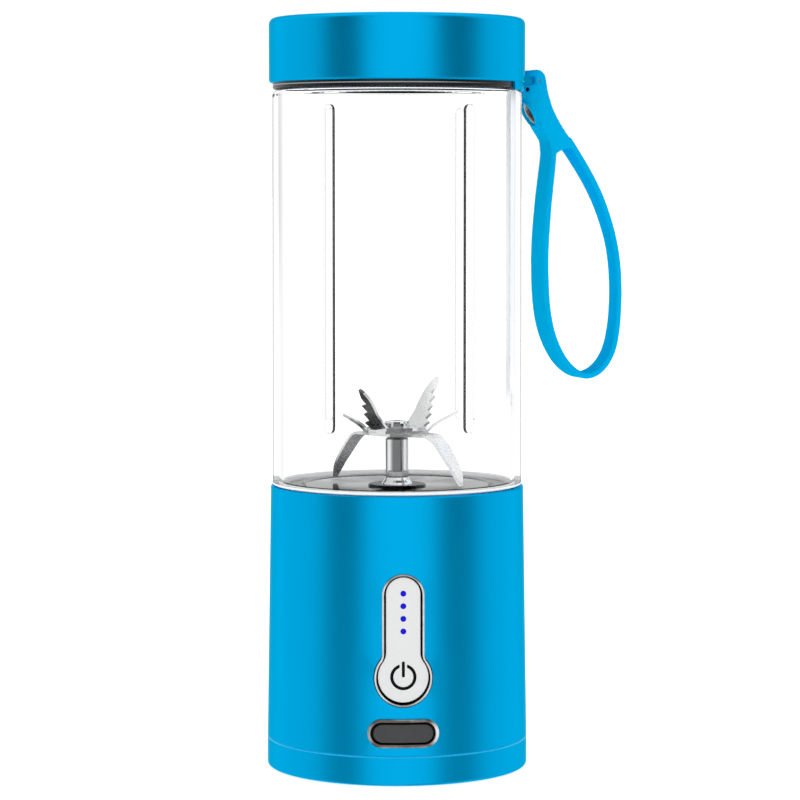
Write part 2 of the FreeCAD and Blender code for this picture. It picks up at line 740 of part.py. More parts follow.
socket_block = stadium("socket_block", D["port_half_width"] - 0.6, D["port_half_height"] + 0.2, -30.4, -36.4)
socket_way = stadium("socket_way", 4.8, 1.95, -29, -38)
node("port_socket", cut("port_socket_cut", socket_block, socket_way))

shell_c = stadium("receptacle_out", 4.47, 1.58, -30.02, -36.2)
shell_c_in = stadium("receptacle_in", 4.17, 1.28, -31.0, -37.0)
receptacle_can = cut("receptacle_can", shell_c, shell_c_in)
tongue_c = block("receptacle_tongue", (-3.3, -35.4, D["port_z"] - 0.35), (3.3, -30.6, D["port_z"] + 0.35))
node("usb_c_receptacle", fuse("usb_c_receptacle_solid", [receptacle_can, tongue_c]))

pc_zone = sleeve("port_cover_zone", 8.9, 24, -1.15, 0.62)
pc_plate = common("port_cover_plate", stadium(
    "port_cover_prism", D["port_half_width"] - D["port_rim"] - 0.7,
    D["port_half_height"] - D["port_rim"] - 0.5, -34, -44), pc_zone)
pc_plug = stadium("port_cover_plug", 5.6, 1.5, -37.4, -39.6)
node("port_cover", try_round("port_cover_rounded", fuse("port_cover_solid", [pc_plate, pc_plug]), 0.62, 0.3, 8, 25))

# ================================================================ base: inside

# Chassis: two cross plates on four posts; the screws enter the posts.
chassis = new_body("chassis_frame")
revolve(chassis, [(14.6, 24), (35.5, 24), (35.5, 26), (14.6, 26)], "lower_plate")
chassis_up = new_body("chassis_upper")
revolve(chassis_up, [(5.3, 66.2), (35.0, 66.2), (35.0, 68.7), (5.3, 68.7)], "upper_plate")
posts = []
post_bores = []
for i, (sx, sy) in enumerate(((1, 1), (-1, 1), (-1, -1), (1, -1))):
    px = D["screw_circle"] * (diag * sx)
    py = D["screw_circle"] * (diag * sy)
    posts.append(cylinder("chassis_post_%d" % i, 3.15, 72.6, (px, py, 9.2)))
    post_bores.append(cylinder("chassis_bore_%d" % i, 1.3, 80, (px, py, 5)))
cell_holes = [cylinder("cell_hole_%d" % i, D["cell_radius"] + 0.35, 60, (D["cell_offset"] * s, 0, 20))
              for i, s in enumerate((-1, 1))]
board_room = block("board_room", (-18, -40, 20), (18, D["board_front"] + D["board_thick"], 70))
motor_screw_holes = [cylinder("motor_screw_hole_%d" % i, 1.35, 6, (0, 8.0 * s, 64)) for i, s in enumerate((-1, 1))]
chassis_solid = fuse("chassis_solid", [chassis, chassis_up] + posts)
chassis_tools = fuse("chassis_tools", post_bores + cell_holes + [board_room] + motor_screw_holes)
node("inner_chassis", cut("inner_chassis_cut", chassis_solid, chassis_tools))

# Motor: can, end cap, two magnets, two bushes, brushes, mounting screws.
can = new_body("motor_can")
revolve(can, [(D["can_radius"], D["can_low"]), (D["can_radius"], D["can_top"]),
              (5.0, D["can_top"]), (5.0, D["can_top"] + 2.0), (3.0, D["can_top"] + 2.0),
              (3.0, D["can_top"] - 1.2), (D["can_radius"] - 1.0, D["can_top"] - 1.2),
              (D["can_radius"] - 1.0, D["can_low"])])
round_rings(can, [(D["can_radius"], D["can_top"])], 1.2, "can_round")
sk = sketch_on(can, "XY_Plane", "can_screw_sketch", offset=60)
circle(sk, 0, 8.0, 1.3)
p1 = pocket(can, sk, 8, "can_screw_hole", reverse=True)
polar(can, [p1], 2, "can_screw_holes")
node("motor_can", can)

endcap = new_body("motor_endcap")
revolve(endcap, [(3.0, 28.0), (13.9, 28.0), (13.9, 30.4), (12.7, 30.4), (12.7, 32.0),
                 (11.4, 32.0), (11.4, 30.4), (4.6, 30.4), (4.6, 31.0), (3.0, 31.0)])
node("motor_endcap", endcap)

magnet = new_body("motor_magnets")
sk = sketch_on(magnet, "XY_Plane", "magnet_sketch", offset=38)
sector = []
for step in range(9):
    a = math.radians(-60 + 15 * step)
    sector.append((12.8 * math.cos(a), 12.8 * math.sin(a)))
for step in range(9):
    a = math.radians(60 - 15 * step)
    sector.append((10.9 * math.cos(a), 10.9 * math.sin(a)))
poly(sk, sector)
m1 = pad(magnet, sk, 22, "magnet")
polar(magnet, [m1], 2, "magnets")
node("motor_magnets", magnet)

bush_low = new_body("motor_bush_low")
revolve(bush_low, [(D["motor_shaft_radius"] + D["run_gap"], 28.0), (3.0, 28.0), (3.0, 31.0),
                   (D["motor_shaft_radius"] + D["run_gap"], 31.0)])
bush_up = new_body("motor_bush_up")
revolve(bush_up, [(D["motor_shaft_radius"] + D["run_gap"], 64.8), (3.0, 64.8), (3.0, 68.0),
                  (D["motor_shaft_radius"] + D["run_gap"], 68.0)])
node("motor_bushes", fuse("motor_bush_pair", [bush_low, bush_up]))

brush_a = block("brush_a", (-1.6, 3.75, 32.2), (1.6, 8.2, 35.4))
brush_b = block("brush_b", (-1.6, -8.2, 32.2), (1.6, -3.75, 35.4))
arm_a = block("brush_arm_a", (-1.2, 7.6, 30.4), (1.2, 8.6, 35.4))
arm_b = block("brush_arm_b", (-1.2, -8.6, 30.4), (1.2, -7.6, 35.4))
node("motor_brushes", fuse("motor_brush_pair", [brush_a, brush_b, arm_a, arm_b]))

ms_parts = []
for i, s in enumerate((-1, 1)):
    head = cylinder("motor_screw_head_%d" % i, 2.4, 1.6, (0, 8.0 * s, 68.7))
    shank = cylinder("motor_screw_shank_%d" % i, 1.25, 4.2, (0, 8.0 * s, 64.5))
    solid = fuse("motor_screw_solid_%d" % i, [head, shank])
    slot = block("motor_screw_slot_%d" % i, (-1.6, 8.0 * s - 0.3, 69.5), (1.6, 8.0 * s + 0.3, 71))
    ms_parts.append(cut("motor_screw_%d" % i, solid, slot))
node("motor_screws", fuse("motor_screw_pair", ms_parts))

# Battery cells stand on the bottom strip; the terminals are small steps.
for tag, s in (("left", -1), ("right", 1)):
    cell = new_body("battery_cell_" + tag)
    sk = sketch_on(cell, "XY_Plane", "cell_sketch", offset=4.0)
    circle(sk, D["cell_offset"] * s, 0, D["cell_radius"])
    pad(cell, sk, D["cell_length"] - 1.0, "cell")
    sk = sketch_on(cell, "XY_Plane", "cell_tip_sketch", offset=3.0 + D["cell_length"])
    circle(sk, D["cell_offset"] * s, 0, 4.0)
    pad(cell, sk, 1.0, "cell_tip")
    node("battery_cell_" + tag, cell)

tab_bottom = block("tab_bottom", (-28.5, -3, 3.6), (28.5, 3, 4.0))
tab_left = block("tab_left", (-28.5, -3, 69.0), (-20.5, 3, 69.3))
tab_left_arm = block("tab_left_arm", (-24.0, -14, 69.0), (-20.5, -3, 69.3))
tab_right = block("tab_right", (20.5, -3, 69.0), (28.5, 3, 69.3))
tab_right_arm = block("tab_right_arm", (20.5, -14, 69.0), (24.0, -3, 69.3))
node("battery_tabs", fuse("battery_tab_set", [
    tab_bottom, fuse("tab_left_set", [tab_left, tab_left_arm]),
    fuse("tab_right_set", [tab_right, tab_right_arm])]))

# Circuit board with switch, lights, chips, and the cup sensor.
board = block("board", (-16.5, D["board_front"], 10.6), (16.5, D["board_front"] + D["board_thick"], 65.9))
board_notch = [cylinder("board_hole_%d" % i, 1.1, 4, (13.8 * s, -27, z), "f")
               for i, (s, z) in enumerate(((-1, 62.6), (1, 62.6), (-1, 22.0), (1, 22.0)))]
node("main_board", cut("main_board_cut", board, fuse("board_holes", board_notch)))

switch_body = block("switch_body", (-3.0, D["board_front"] - 3.4, D["panel_low_z"] - 3.0),
                    (3.0, D["board_front"], D["panel_low_z"] + 3.0))
switch_tip = cylinder("switch_tip", 1.5, 0.85, (0, D["board_front"] - 3.4, D["panel_low_z"]), "f")
node("button_switch", fuse("button_switch_solid", [switch_body, switch_tip]))

led_parts = []
pipe_parts = []
for i, z in enumerate(LED_Z):
    led_parts.append(block("led_chip_%d" % i, (-1.0, D["board_front"] - 0.8, z - 0.7), (1.0, D["board_front"], z + 0.7)))
    pipe_parts.append(cylinder("light_pipe_%d" % i, 0.95, 5.2, (0, D["board_front"] - 0.8, z), "f"))
node("status_lights", fuse("status_light_set", led_parts))
node("light_pipes", fuse("light_pipe_set", pipe_parts))

bf = D["board_front"]
bb = D["board_front"] + D["board_thick"]
chips = [
    block("chip_a", (6.0, bf - 1.2, 44.0), (11.5, bf, 50.0)),
    block("chip_b", (-12.5, bf - 1.6, 50.0), (-7.5, bf, 55.0)),
    block("chip_c", (-12.5, bf - 2.8, 38.5), (-6.5, bf, 44.5)),
    block("chip_d", (6.5, bf - 1.0, 54.0), (9.5, bf, 57.0)),
    block("chip_e", (10.0, bb, 40.0), (15.0, bb + 1.8, 46.0)),
    cylinder("chip_f", 2.6, 2.2, (-9.5, bf, 28.0), "f"),
]
node("board_chips", fuse("board_chip_set", chips))

sensor_arm = block("sensor_arm", (-2.4, 30.2, 69.2), (2.4, 34.6, 70.0))
sensor_top = block("sensor_top", (-2.0, 31.6, 70.0), (2.0, 34.0, 72.6))
sensor_leg = block("sensor_leg", (-2.4, 30.2, 68.7), (2.4, 31.4, 69.2))
node("cup_sensor", fuse("cup_sensor_solid", [sensor_arm, sensor_top, sensor_leg]))

# ================================================================ base: top

# Blade seat: a deck on a wall with an external four-start thread, standing
# in a channel floor that reaches to the shell.
seat = new_body("blade_seat")
SR = D["seat_radius"]
revolve(seat, [
    (3.1, D["deck_low"]), (SR - 2.0, D["deck_low"]), (SR - 2.0, D["seat_floor"] - 1.8),
    (37.2, D["seat_floor"] - 1.8), (37.2, D["seat_floor"]), (SR, D["seat_floor"]),
    (SR, 85.4), (SR - 2.0, 85.4), (SR - 2.0, D["deck_top"]), (3.1, D["deck_top"])])
ridge = helix_ridge(seat, [
    (SR - 0.5, 76.75), (SR, 76.75), (SR + 0.8, 77.15), (SR + 0.8, 77.55),
    (SR, 77.95), (SR - 0.5, 77.95)], D["cup_lead"], 6.0, "seat_ridge")
polar(seat, [ridge], D["cup_starts"], "seat_ridges")
sk = sketch_on(seat, "XY_Plane", "seat_head_sketch", offset=83.4)
circle(sk, D["screw_circle"] * diag, D["screw_circle"] * diag, 2.9)
q1 = pocket(seat, sk, 3.0, "seat_head", reverse=True)
polar(seat, [q1], 4, "seat_heads")
sk = sketch_on(seat, "XY_Plane", "seat_way_sketch", offset=80)
circle(sk, D["screw_circle"] * diag, D["screw_circle"] * diag, 1.4)
q2 = pocket(seat, sk, 6.0, "seat_way", reverse=True)
polar(seat, [q2], 4, "seat_ways")
node("blade_seat", seat)

node("seat_screws", screw_set("seat_screws", 83.45, 2.5, 1.6, 1.25, 70.0, D["screw_circle"], up=False))

gasket = new_body("plate_gasket")
revolve(gasket, [(SR - 1.9, 85.4), (SR - 0.8, 85.4), (SR - 0.8, 86.2), (SR - 1.9, 86.2)])
node("plate_gasket", gasket)

# Stainless floor plate: flat flange with its edge turned down, small step,
# dished floor, post hole.
plate = new_body("plate_sheet")
PZ, DZ, T = D["plate_z"], D["dish_z"], D["sheet_thick"]
DR = D["dish_rise"]
revolve(plate, [
    (3.1, DZ - T), (D["dish_radius"] - 3.0, DZ - T), (D["dish_radius"] + 0.5, PZ - T),
    (D["plate_radius"] - T, PZ - T), (D["plate_radius"] - T, PZ - D["plate_lip"]),
    (D["plate_radius"], PZ - D["plate_lip"]), (D["plate_radius"], PZ), (D["dish_radius"], PZ),
    (D["dish_radius"] - 1.2, DZ + DR), (3.1, DZ + DR)])
round_rings(plate, [(D["dish_radius"], PZ), (D["plate_radius"], PZ)], 0.4, "step_round")
ball = doc.addObject("Part::Sphere", "dish_ball")
ball.Radius = num(D["dish_curve"])
bind(ball, "Radius", D["dish_curve"])
ball.Placement = FreeCAD.Placement(FreeCAD.Vector(0, 0, num(DZ + D["dish_curve"])), FreeCAD.Rotation())
bind(ball, "Placement.Base.z", DZ + D["dish_curve"])
node("blade_plate", cut("blade_plate_cut", plate, ball))

# Black gasket between the plate and the post's foot.
pad_ring = new_body("post_gasket")
revolve(pad_ring, [(3.05, 86.06), (D["post_pad"], 86.06), (D["post_pad"], D["post_pad_top"] - 0.3),
                   (D["post_pad"] - 0.4, D["post_pad_top"]), (3.05, D["post_pad_top"])])
node("post_gasket", pad_ring)

# Post: flared foot on the gasket, hollow, threaded shank and nut underneath.
post = new_body("blade_post")
PR = D["post_radius"]
FZ = D["post_pad_top"]
revolve(post, [
    (2.4, 79.2), (3.0, 79.2), (3.0, FZ), (PR + 1.1, FZ), (PR + 0.9, FZ + 0.5),
    (PR + 0.3, FZ + 1.2), (PR, FZ + 2.0), (PR, D["post_top"] - 0.4),
    (PR - 0.4, D["post_top"]), (2.8, D["post_top"]), (2.8, 90.0), (2.8, 86.2), (2.4, 86.2)])
node("blade_post", post)

nut_body = new_body("post_nut")
sk = sketch_on(nut_body, "XY_Plane", "nut_hex", offset=79.4)
poly(sk, [(5.2 * math.cos(math.radians(60 * k)), 5.2 * math.sin(math.radians(60 * k))) for k in range(6)])
circle(sk, 0, 0, 3.0)
pad(nut_body, sk, 2.5, "nut")
node("post_nut", nut_body)

bp1 = new_body("post_bush_low")
revolve(bp1, [(D["shaft_radius"] + D["run_gap"], 79.4), (2.4, 79.4), (2.4, 86.2),
              (D["shaft_radius"] + D["run_gap"], 86.2)])
bp2 = new_body("post_bush_up")
revolve(bp2, [(D["shaft_radius"] + D["run_gap"], 90.5), (2.8, 90.5), (2.8, 97.6),
              (D["shaft_radius"] + D["run_gap"], 97.6)])
node("post_bushes", fuse("post_bush_pair", [bp1, bp2]))

lip = new_body("shaft_seal")
revolve(lip, [(D["shaft_radius"] + 0.06, 98.2), (D["shaft_radius"] + 0.5, 97.8), (2.8, 97.8),
              (2.8, 100.6), (D["shaft_radius"] + 0.4, 100.6), (D["shaft_radius"] + 0.06, 98.8)])
node("shaft_seal", lip)

# ================================================================ rotor

mshaft = new_body("motor_shaft")
revolve(mshaft, [(0, 26.8), (1.2, 26.8), (D["motor_shaft_radius"], 27.1),
                 (D["motor_shaft_radius"], 74.2), (0, 74.2)])
node("motor_shaft", mshaft)

coupler = new_body("shaft_coupler")
revolve(coupler, [(D["motor_shaft_radius"], 70.8), (4.6, 70.8), (4.6, 73.0), (3.8, 73.4),
                  (3.8, 78.4), (D["shaft_radius"], 78.4), (D["shaft_radius"], 74.4),
                  (D["motor_shaft_radius"], 74.4)])
node("shaft_coupler", coupler)

bshaft = new_body("blade_shaft")
revolve(bshaft, [(0, 74.6), (D["shaft_radius"], 74.6), (D["shaft_radius"], 105.0), (0, 105.0)])
node("blade_shaft", bshaft)

stack = new_body("armature_core")
revolve(stack, [(D["motor_shaft_radius"], 40), (10.2, 40), (10.2, 58), (D["motor_shaft_radius"], 58)])
sk = sketch_on(stack, "XY_Plane", "slot_sketch", offset=39)
poly(sk, [(4.4, -2.1), (9.0, -2.6), (9.0, -0.9), (11.5, -0.9), (11.5, 0.9), (9.0, 0.9), (9.0, 2.6), (4.4, 2.1)])
s1 = pocket(stack, sk, 20, "coil_slot", reverse=True)
polar(stack, [s1], 3, "coil_slots")
node("armature_core", stack)

coil = new_body("armature_coils")
revolve(coil, [(3.4, 36.6), (8.8, 36.6), (9.3, 37.2), (9.3, 39.9), (3.4, 39.9)], "end_turns_low")
revolve(coil, [(3.4, 58.1), (9.3, 58.1), (9.3, 60.8), (8.8, 61.4), (3.4, 61.4)], "end_turns_up")
sk = sketch_on(coil, "XY_Plane", "slot_wire_sketch", offset=38.5)
poly(sk, [(4.7, -1.8), (8.7, -2.2), (8.7, 2.2), (4.7, 1.8)])
w1 = pad(coil, sk, 21, "slot_wire")
polar(coil, [w1], 3, "slot_wires")
node("armature_coils", coil)

comm = new_body("commutator")
revolve(comm, [(D["motor_shaft_radius"], 31.9), (3.65, 31.9), (3.65, 35.7), (4.4, 35.7), (4.4, 36.3),
               (D["motor_shaft_radius"], 36.3)])
sk = sketch_on(comm, "XY_Plane", "bar_gap_sketch", offset=31)
poly(sk, [(3.2, -0.15), (4.0, -0.15), (4.0, 0.15), (3.2, 0.15)])
g1 = pocket(comm, sk, 4.7, "bar_gap", reverse=True)
polar(comm, [g1], 3, "bar_gaps")
node("commutator", comm)

# Blade hubs are stacked on the shaft; each blade is one bent sheet.
HZ = D["hub_low_z"]
BT = D["blade_thick"]
Z_LOW, Z_MID, Z_UP = HZ, HZ + BT, HZ + BT * 2
Z_TOP = Z_UP + D["upper_thick"]

spacer = new_body("blade_spacer")
revolve(spacer, [(D["shaft_radius"], 101.2), (3.3, 101.2), (3.3, HZ), (D["shaft_radius"], HZ)])
node("blade_spacer", spacer)

nut = new_body("blade_nut")
revolve(nut, [(D["shaft_radius"], Z_TOP), (3.9, Z_TOP), (3.9, Z_TOP + 1.2), (3.5, Z_TOP + 1.65),
              (1.6, Z_TOP + 1.9), (0, Z_TOP + 1.9), (0, 105.0), (D["shaft_radius"], 105.0)])
sk = sketch_on(nut, "XY_Plane", "nut_slot_sketch", offset=Z_TOP + 1.3)
poly(sk, [(-5, -0.55), (5, -0.55), (5, 0.55), (-5, 0.55)])
pocket(nut, sk, 2.0, "nut_slot", reverse=True)
node("blade_nut", nut)


def s_shape(half):
    """Two-armed planform: the half outline and its half-turn copy."""
    return half + [(-dim(x), -dim(y)) for x, y in half]


def level_blade(name, strip_pts, plan_half, width, azimuth, other=None):
    """Bent strip seen from the side, trimmed to its outline from above."""
    strip = new_body(name + "_strip")
    sk = sketch_on(strip, "XZ_Plane", name + "_side")
    poly(sk, strip_pts)
    pad(strip, sk, width, name + "_strip_pad", midplane=True)
    plan = new_body(name + "_plan")
    sk = sketch_on(plan, "XY_Plane", name + "_outline", offset=80)
    poly(sk, plan_half + other if other else s_shape(plan_half))
    circle(sk, 0, 0, D["shaft_radius"])
    pad(plan, sk, 45, name + "_plan_pad")
    blade = common(name, strip, plan)
    return turn_about_z(blade, azimuth)


def bent_profile(z0, thick, line):
    """Side outline of a sheet through the centre-line points, both arms."""
    top, low = [], []
    n = len(line)
    for i in range(n):
        a = line[max(i - 1, 0)]
        b = line[min(i + 1, n - 1)]
        dx, dz = b[0] - a[0], b[1] - a[1]
        k = math.hypot(dx, dz)
        nx, nz = -dz / k, dx / k
        x, z = line[i]
        top.append((x + nx * num(thick) / 2, z + nz * num(thick) / 2))
        low.append((x - nx * num(thick) / 2, z - nz * num(thick) / 2))
    right = top + low[::-1]
    pts = []
    for x, z in top:
        pts.append((x, z0 + thick / 2 + z))
    for x, z in low[::-1]:
        pts.append((x, z0 + thick / 2 + z))
    for x, z in low[1:]:
        pts.append((-x, z0 + thick / 2 + z))
    for x, z in top[::-1][:-1]:
        pts.append((-x, z0 + thick / 2 + z))
    return pts


# Lower blade: arms run out level, then sweep down to just above the plate.
LR = D["low_reach"]
low_line = [(0.0, 0.0), (12.0, 0.0), (13.6, -0.15), (15.3, -0.75), (17.0, -1.95), (18.4, -3.5),
            (19.7, -5.3), (20.8, -7.0), (21.8, -8.6), (22.8, -10.3), (23.7, -12.2), (24.4, -13.8), (24.8, -14.6)]
low_blade = level_blade("lower_blade", bent_profile(Z_LOW, BT, low_line), [
    (6.3, -5.9), (9.0, -5.1), (13.0, -4.8), (16.0, -4.9), (18.0, -5.0), (19.6, -4.8), (21.2, -4.3),
    (22.7, -3.6), (23.8, -2.9), (LR - 0.3, -2.1), (LR, -1.0), (LR - 0.3, 0.0), (23.7, 0.75),
    (22.2, 1.3), (20.5, 1.55), (19.0, 1.65), (17.0, 1.95), (15.0, 2.7), (12.7, 3.7), (9.5, 4.9),
    (6.0, 6.4), (2.0, 7.4), (-2.5, 7.4)], 20, D["low_turn"])
node("lower_blade", low_blade)

# Middle blade: thin arms that rise a little, ground to a point, one longer than the other.
ML, MS = D["mid_long"], D["mid_short"]
mid_line = [(0.0, 0.0), (9.2, 0.0), (10.1, 0.8), (11.0, 1.7), (12.5, 2.75), (14.5, 3.9), (16.5, 4.95),
            (19.0, 6.25)]
mid_blade = level_blade("middle_blade", bent_profile(Z_MID, BT, mid_line), [
    (6.0, -4.7), (8.6, -3.6), (12.0, -2.8), (15.5, -1.4), (ML, 0.9), (16.0, 2.0),
    (12.5, 2.7), (8.5, 3.3), (6.0, 4.6), (3.0, 6.7), (-2.0, 7.0)], 18, D["mid_turn"], [
    (-6.0, 4.7), (-8.6, 3.6), (-11.2, 2.9), (-14.0, 1.6), (-MS, -0.9), (-14.4, -1.9),
    (-11.5, -2.6), (-8.5, -3.3), (-6.0, -4.6), (-3.0, -6.7), (2.0, -7.0)])
node("middle_blade", mid_blade)

# Upper blade: two saw-toothed arms bent up steeply from a flat hub, one longer
# than the other, each with a creased corner at its root.
upper = new_body("upper_blade")
sk = sketch_on(upper, "XY_Plane", "hub_outline", offset=Z_UP)
poly(sk, s_shape([(8.15, -4.6), (8.15, -0.9), (7.3, 3.3), (4.6, 6.3), (0.5, 7.6), (-3.5, 7.3)]))
circle(sk, 0, 0, D["shaft_radius"])
pad(upper, sk, D["upper_thick"], "hub")


def arm_sketch(name, half_turn, origin, axis_x, axis_y):
    """Sketch on a plane given in the arm's frame: out along the arm, across it, and inwards from its face."""
    rise = math.radians(num(D["upper_rise"]))
    along = FreeCAD.Vector(math.cos(rise), 0, math.sin(rise))
    across = FreeCAD.Vector(0, 1, 0)
    inward = along.cross(across)
    turn = FreeCAD.Rotation(FreeCAD.Vector(0, 0, 1), 180.0 if half_turn else 0.0)

    def world(p):
        return along * p[0] + across * p[1] + inward * p[2]

    x = turn.multVec(world(axis_x)).normalize()
    y = turn.multVec(world(axis_y))
    z = x.cross(y).normalize()
    spot = turn.multVec(FreeCAD.Vector(num(D["upper_bend"]), 0, 0) + world(origin))
    sk = upper.newObject("Sketcher::SketchObject", name)
    sk.AttachmentSupport = [(plane(upper, "XY_Plane"), "")]
    sk.MapMode = "FlatFace"
    sk.AttachmentOffset = FreeCAD.Placement(
        FreeCAD.Vector(spot.x, spot.y, spot.z + num(Z_UP)), FreeCAD.Rotation(x, z.cross(x), z, "XZY"))
    side = D["upper_bend"] * (-1.0 if half_turn else 1.0)
    bind(sk, "AttachmentOffset.Base.x", side + (spot.x - num(side)))
    bind(sk, "AttachmentOffset.Base.z", Z_UP + spot.z)
    return sk


def upper_arm(tag, half_turn, outline, fold_high, fold_low, corner):
    """One arm: the saw-toothed face, and the corner facet that is folded inwards along a slanting crease."""
    sk = arm_sketch("arm_outline_" + tag, half_turn, (0, 0, 0), (1, 0, 0), (0, 1, 0))
    poly(sk, outline)
    pad(upper, sk, D["upper_thick"], "arm_" + tag)
    run = (fold_high[0] - fold_low[0], fold_high[1] - fold_low[1])
    long = math.hypot(run[0], run[1])
    ux, uy = run[0] / long, run[1] / long
    reach = (corner[0] - fold_low[0], corner[1] - fold_low[1], corner[2])
    along = reach[0] * ux + reach[1] * uy
    off = (reach[0] - along * ux, reach[1] - along * uy, reach[2])
    wide = math.sqrt(off[0] ** 2 + off[1] ** 2 + off[2] ** 2)
    sk = arm_sketch("crease_" + tag, half_turn, (fold_low[0], fold_low[1], 0.0), (ux, uy, 0.0), off)
    poly(sk, [(0, 0), (long, 0), (along, wide)])
    pad(upper, sk, D["upper_thick"], "crease_pad_" + tag)


UL, US = D["upper_long"], D["upper_short"]
# x runs out along the arm, y across it; the saw edge is at -y
upper_arm("long", False, [
    (6.6, 2.65), (9.0, 2.3), (11.7, 1.8), (13.5, 1.25), (15.9, 0.15), (UL, -1.75), (16.4, -2.15),
    (15.0, -2.4), (13.3, -2.25), (12.0, -1.7), (10.85, -3.7), (9.1, -2.4), (7.8, -4.05), (6.1, -2.95),
    (5.1, -4.75), (3.4, -3.4), (2.3, -5.3), (0.9, -3.9), (-0.1, -4.9), (-0.1, -1.1)],
    (6.6, 2.65), (-0.1, -1.1), (-0.2, 3.2, 1.2))
upper_arm("short", True, [
    (6.0, 2.3), (8.1, 2.25), (9.85, 1.95), (11.4, 1.35), (13.25, 0.05), (US, -1.4), (12.8, -1.65),
    (11.55, -1.7), (10.35, -1.15), (9.5, -0.3), (8.75, -2.9), (6.6, -1.25), (5.8, -3.5), (3.5, -1.9),
    (2.7, -4.5), (0.75, -2.65), (-0.1, -4.9), (-0.1, -1.1)],
    (6.0, 2.3), (-0.1, -1.1), (-0.2, 3.2, 1.2))
# the bends are ground level with the hub's underside, so the arms don't touch the blade below
sk = sketch_on(upper, "XY_Plane", "underside", offset=Z_UP)
poly(sk, [(-14, -9), (14, -9), (14, 9), (-14, 9)])
pocket(upper, sk, 1.2, "underside_cut")
turn_about_z(upper, D["blade_turn"])
node("upper_blade", upper)

# ================================================================ cup

seal = new_body("cup_seal")
revolve(seal, [(35.0, 75.35), (36.7, 75.35), (36.85, 75.6), (36.85, 76.3), (36.4, 76.75),
               (35.4, 76.75), (35.0, 76.4)])
node("cup_seal", seal)

cup = new_body("cup_body")
revolve(cup, [
    (D["neck_in"], D["neck_low"]), (D["neck_out"], D["neck_low"]), (D["neck_out"], D["cup_sole"]),
    (D["cup_radius_low"], D["cup_sole"]), (D["cup_radius_top"], D["cup_shoulder"]),
    (D["mouth_out"], D["cup_shoulder"]), (D["mouth_out"], D["mouth_top"]),
    (D["mouth_in"], D["mouth_top"]), (D["mouth_in"], D["cup_shoulder"] + 1.3),
    (D["cup_in"], D["cup_shoulder"] - 0.8)], "wall")
round_rings(cup, [(D["cup_radius_top"], D["cup_shoulder"])], 1.5, "shoulder_round")
round_rings(cup, [(D["cup_radius_low"], D["cup_sole"])], 0.5, "sole_round")
round_rings(cup, [(D["mouth_out"], D["mouth_top"]), (D["mouth_in"], D["mouth_top"])], 0.6, "rim_round")
NI = D["neck_in"]
inner_ridge = helix_ridge(cup, [
    (NI + 0.5, 78.25), (NI, 78.25), (NI - 0.75, 78.65), (NI - 0.75, 79.05),
    (NI, 79.45), (NI + 0.5, 79.45)], D["cup_lead"], 5.2, "cup_ridge")
polar(cup, [inner_ridge], D["cup_starts"], "cup_ridges")
MO = D["mouth_out"]
mouth_ridge = helix_ridge(cup, [
    (MO - 0.5, 211.2), (MO, 211.2), (MO + 0.7, 211.6), (MO + 0.7, 212.0),
    (MO, 212.4), (MO - 0.5, 212.4)], D["lid_lead"], 6.6, "mouth_ridge")
polar(cup, [mouth_ridge], D["lid_starts"], "mouth_ridges")
# Four upright ribs inside the wall, with round ends.
RW = D["rib_wide"] / 2
rib_pads = []
for tag, sign in (("a", 1), ("b", -1)):
    sk = cup.newObject("Sketcher::SketchObject", "rib_sketch_" + tag)
    sk.AttachmentSupport = [(plane(cup, "XZ_Plane"), "")]
    sk.MapMode = "FlatFace"
    # the sketch plane stands off the axis by rib_in and is turned about Z
    turn = num(D["rib_turn"]) * sign - 1.3
    rot = FreeCAD.Rotation(FreeCAD.Vector(0, 1, 0), turn)
    base_vec = rot.multVec(FreeCAD.Vector(0, 0, num(D["rib_in"])))
    sk.AttachmentOffset = FreeCAD.Placement(base_vec, rot)
    zl, zh = D["rib_low"] + RW, D["rib_high"] - RW
    cap_pts = []
    steps = 8
    for k in range(steps + 1):
        a = math.pi * k / steps
        cap_pts.append((RW * math.cos(a), zh + RW * math.sin(a)))
    for k in range(steps + 1):
        a = math.pi + math.pi * k / steps
        cap_pts.append((RW * math.cos(a), zl + RW * math.sin(a)))
    poly(sk, cap_pts)
    rib = pad(cup, sk, 2.2, "rib_" + tag)
    polar(cup, [rib], 2, "ribs_" + tag)
# Two pockets for the interlock magnets, in the outside of the lower neck.
sk = sketch_on(cup, "XZ_Plane", "magnet_pocket_sketch", offset=35.75)
poly(sk, [(-2.1, 77.4), (2.1, 77.4), (2.1, 81.4), (-2.1, 81.4)])
mp = pocket(cup, sk, 3.0, "magnet_pocket", reverse=True)
polar(cup, [mp], 2, "magnet_pockets")
node("cup_body", cup)

mag_a = block("cup_magnet_a", (-2.0, -36.7, 77.5), (2.0, -35.8, 81.3))
mag_b = block("cup_magnet_b", (-2.0, 35.8, 77.5), (2.0, 36.7, 81.3))
node("cup_magnets", fuse("cup_magnet_pair", [mag_a, mag_b]))

# ================================================================ lid

lseal = new_body("lid_seal")
revolve(lseal, [(33.2, 225.2), (35.2, 225.2), (35.6, 225.5), (35.6, 226.0), (35.2, 226.3),
                (33.2, 226.3), (32.9, 226.0), (32.9, 225.5)])
node("lid_seal", lseal)

